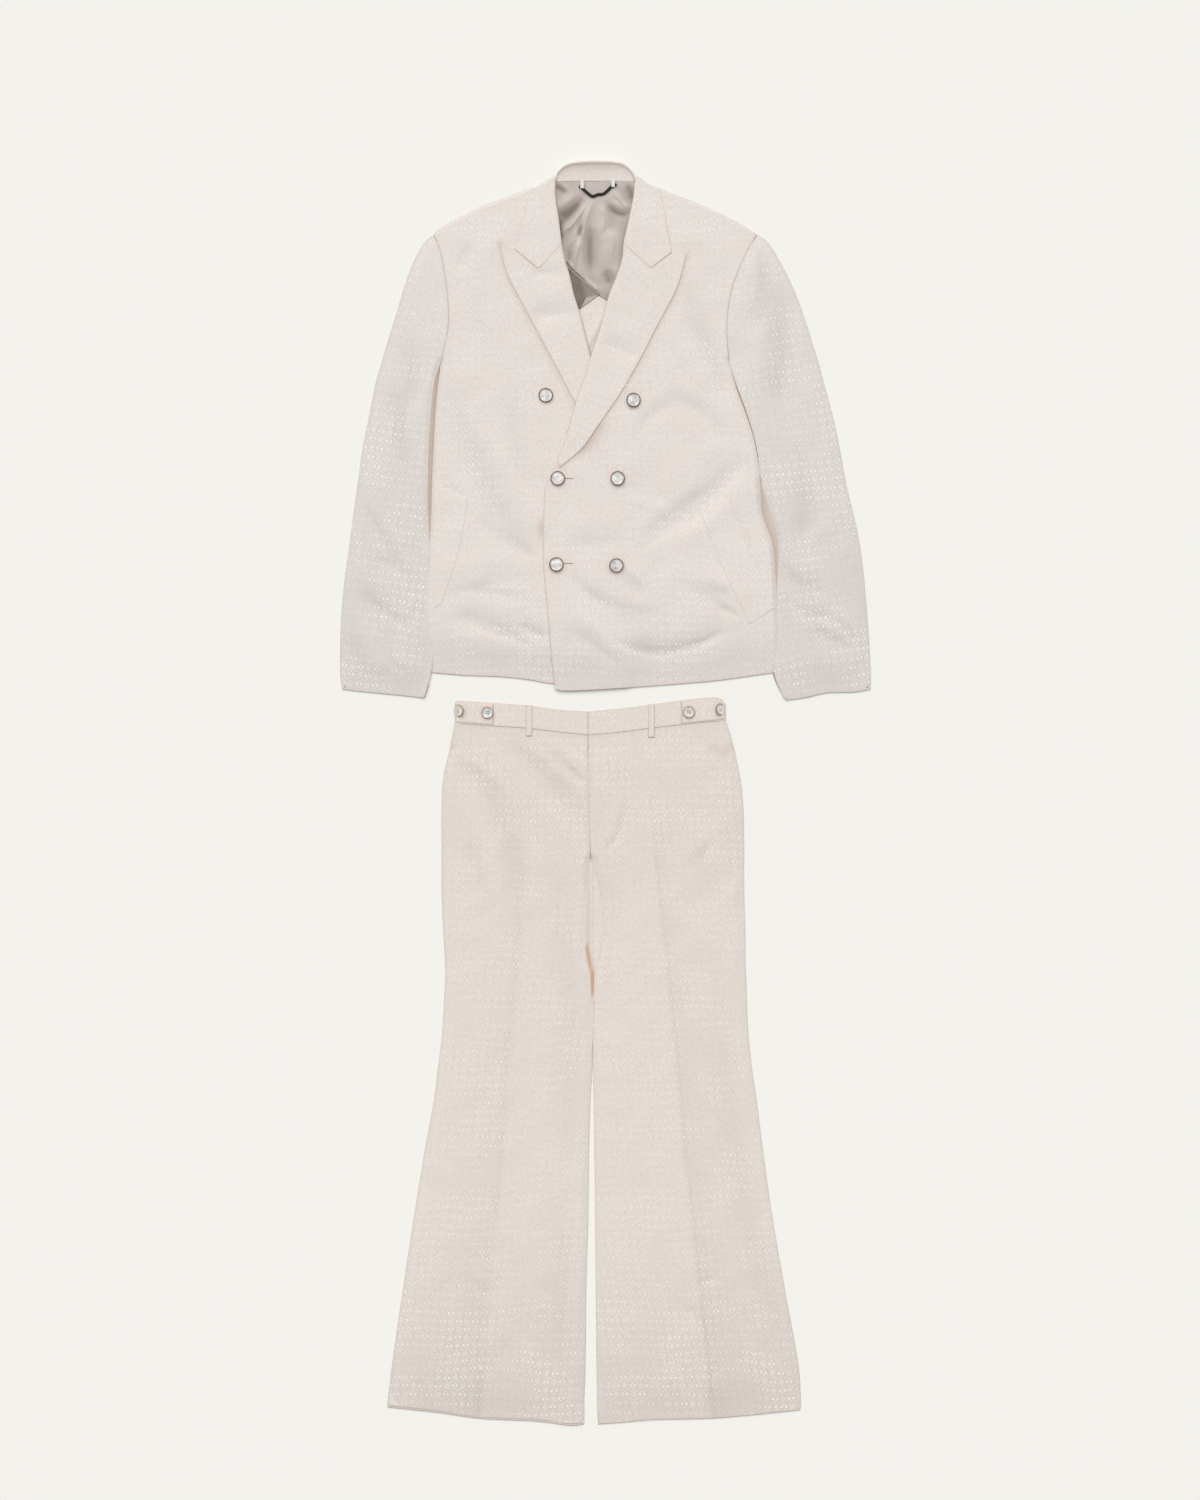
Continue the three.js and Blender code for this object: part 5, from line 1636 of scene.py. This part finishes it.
# %% Hanger loop
LOOP_STEP, LOOP_HEIGHT = 0.5, 5.6
TWIST = 4.6  # length of cord in which a strand goes round once
LOOP_PATH = drawn([
    (-36, 861), (-32, 858), (-27, 853), (-18, 846.5), (-10, 849),
    (-2, 850), (6, 857), (12, 863), (16, 862),
], step=LOOP_STEP)
across_loop = np.gradient(LOOP_PATH, axis=0)
across_loop = across_loop[:, ::-1] * [-1, 1] / np.hypot(*across_loop.T)[:, None]
paths = []
for start in (0, math.pi):
    turn = np.arange(len(LOOP_PATH)) * LOOP_STEP / TWIST * 2 * math.pi + start
    flat_path = LOOP_PATH + across_loop * (1.2 * np.cos(turn))[:, None]
    paths.append(np.column_stack([flat_path, LOOP_HEIGHT + 1.0 * np.sin(turn)]))
loop = strands("hanger_cord", paths, 1.15, black_cord)
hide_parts("hanger_loop")
print("hanger cord", round(len(LOOP_PATH) * LOOP_STEP), "mm long")

# %% [markdown]
# Each tab is a small stiff strip. A cube scaled to its size and bevelled is quicker than a
# strip of cloth, and at this size nobody could tell them apart.

# %% Tabs of the hanger loop
for side, x, y in (("right", -32.5, 863), ("left", 11.5, 865)):
    bm = bmesh.new()
    bmesh.ops.create_cube(bm, size=1)
    bmesh.ops.scale(bm, vec=(5.0, 11, 1.2), verts=bm.verts)
    bmesh.ops.bevel(
        bm, geom=bm.edges[:], offset=0.4, offset_type="OFFSET", segments=2, profile=0.5,
        affect="EDGES", material=-1,
    )
    place = Matrix.Translation((x + SHIFT[0], y + SHIFT[1], LOOP_HEIGHT + 2.2))
    bm.transform(Matrix.Scale(MM, 4) @ place)
    tab = placed(f"loop_tab_{side}", mesh_of(f"loop_tab_{side}", bm))
    tab.data.materials.append(white_tab)
    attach(tab, "root")
    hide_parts(f"loop_end_{side}")
    print(tab.name, "faces", len(tab.data.polygons))

# %% [markdown]
# The inner trouser buttons are sewn on through four holes, with two ties of thread. A hole
# could be cut with a boolean. A short peg painted dark, for the shade inside the hole, looks
# the same from above and keeps the button's mesh clean.

# %% Holes and thread of the trouser buttons
dark_hole = plain("button hole", (96, 88, 82), 0.8)
grey_thread = plain("button thread", (188, 184, 180), 0.8)
HOLE_GAP = 1.6  # from the middle of the button to a hole, across and up
for name, x, y, _ in TROUSER_BUTTONS[1:3]:
    low = TAB_TOP + 2.2
    spots = [(x + i, y + j) for i in (-HOLE_GAP, HOLE_GAP) for j in (-HOLE_GAP, HOLE_GAP)]
    holes = [[(*spot, low), (*spot, low + 0.4)] for spot in spots]
    strands(name + "_holes", holes, 0.75, dark_hole)
    ties = [[(*spots[k], low + 0.3), (*spots[k + 2], low + 0.3)] for k in (0, 1)]
    strands(name + "_thread", ties, 0.35, grey_thread)
    print(name, "holes", len(holes), "ties", len(ties))

# %% [markdown]
# A buttonhole shows as a short bar of thread beside its button. It is a thin thread whose
# points lie on the cloth, so it bends with the front.

# %% Buttonholes
for name, x, y in (("buttonhole_middle", -56.5, 446), ("buttonhole_bottom", -57.5, 325.5)):
    stitches = [(x + step, y, top_at(loft_left, x + step, y) + 0.15) for step in range(0, 13, 2)]
    strands(name, [stitches], 0.55, brown_thread)
    print(name, "stitches", len(stitches))

# %% [markdown]
# The piping of the lining is a pair of thin rolls that run side by side over the satin. They
# are threads too, a little thicker, and they follow the height of the folds below.

# %% Piping of the lining
PIPING = straight((-52, 748), (-8, 708.5))
ASIDE = np.array([1.33, 1.425])  # from the middle of the pair to one roll
rolls = [evened(PIPING + hand * ASIDE, 2) for hand in (-1, 1)]
paths = [[(x, y, top_at(lining_height, x, y) + 0.2) for x, y in roll] for roll in rolls]
strands("lining_piping", paths, 0.5, cream_piping)
print("piping", round(float(np.hypot(*(PIPING[1] - PIPING[0])))), "mm long")
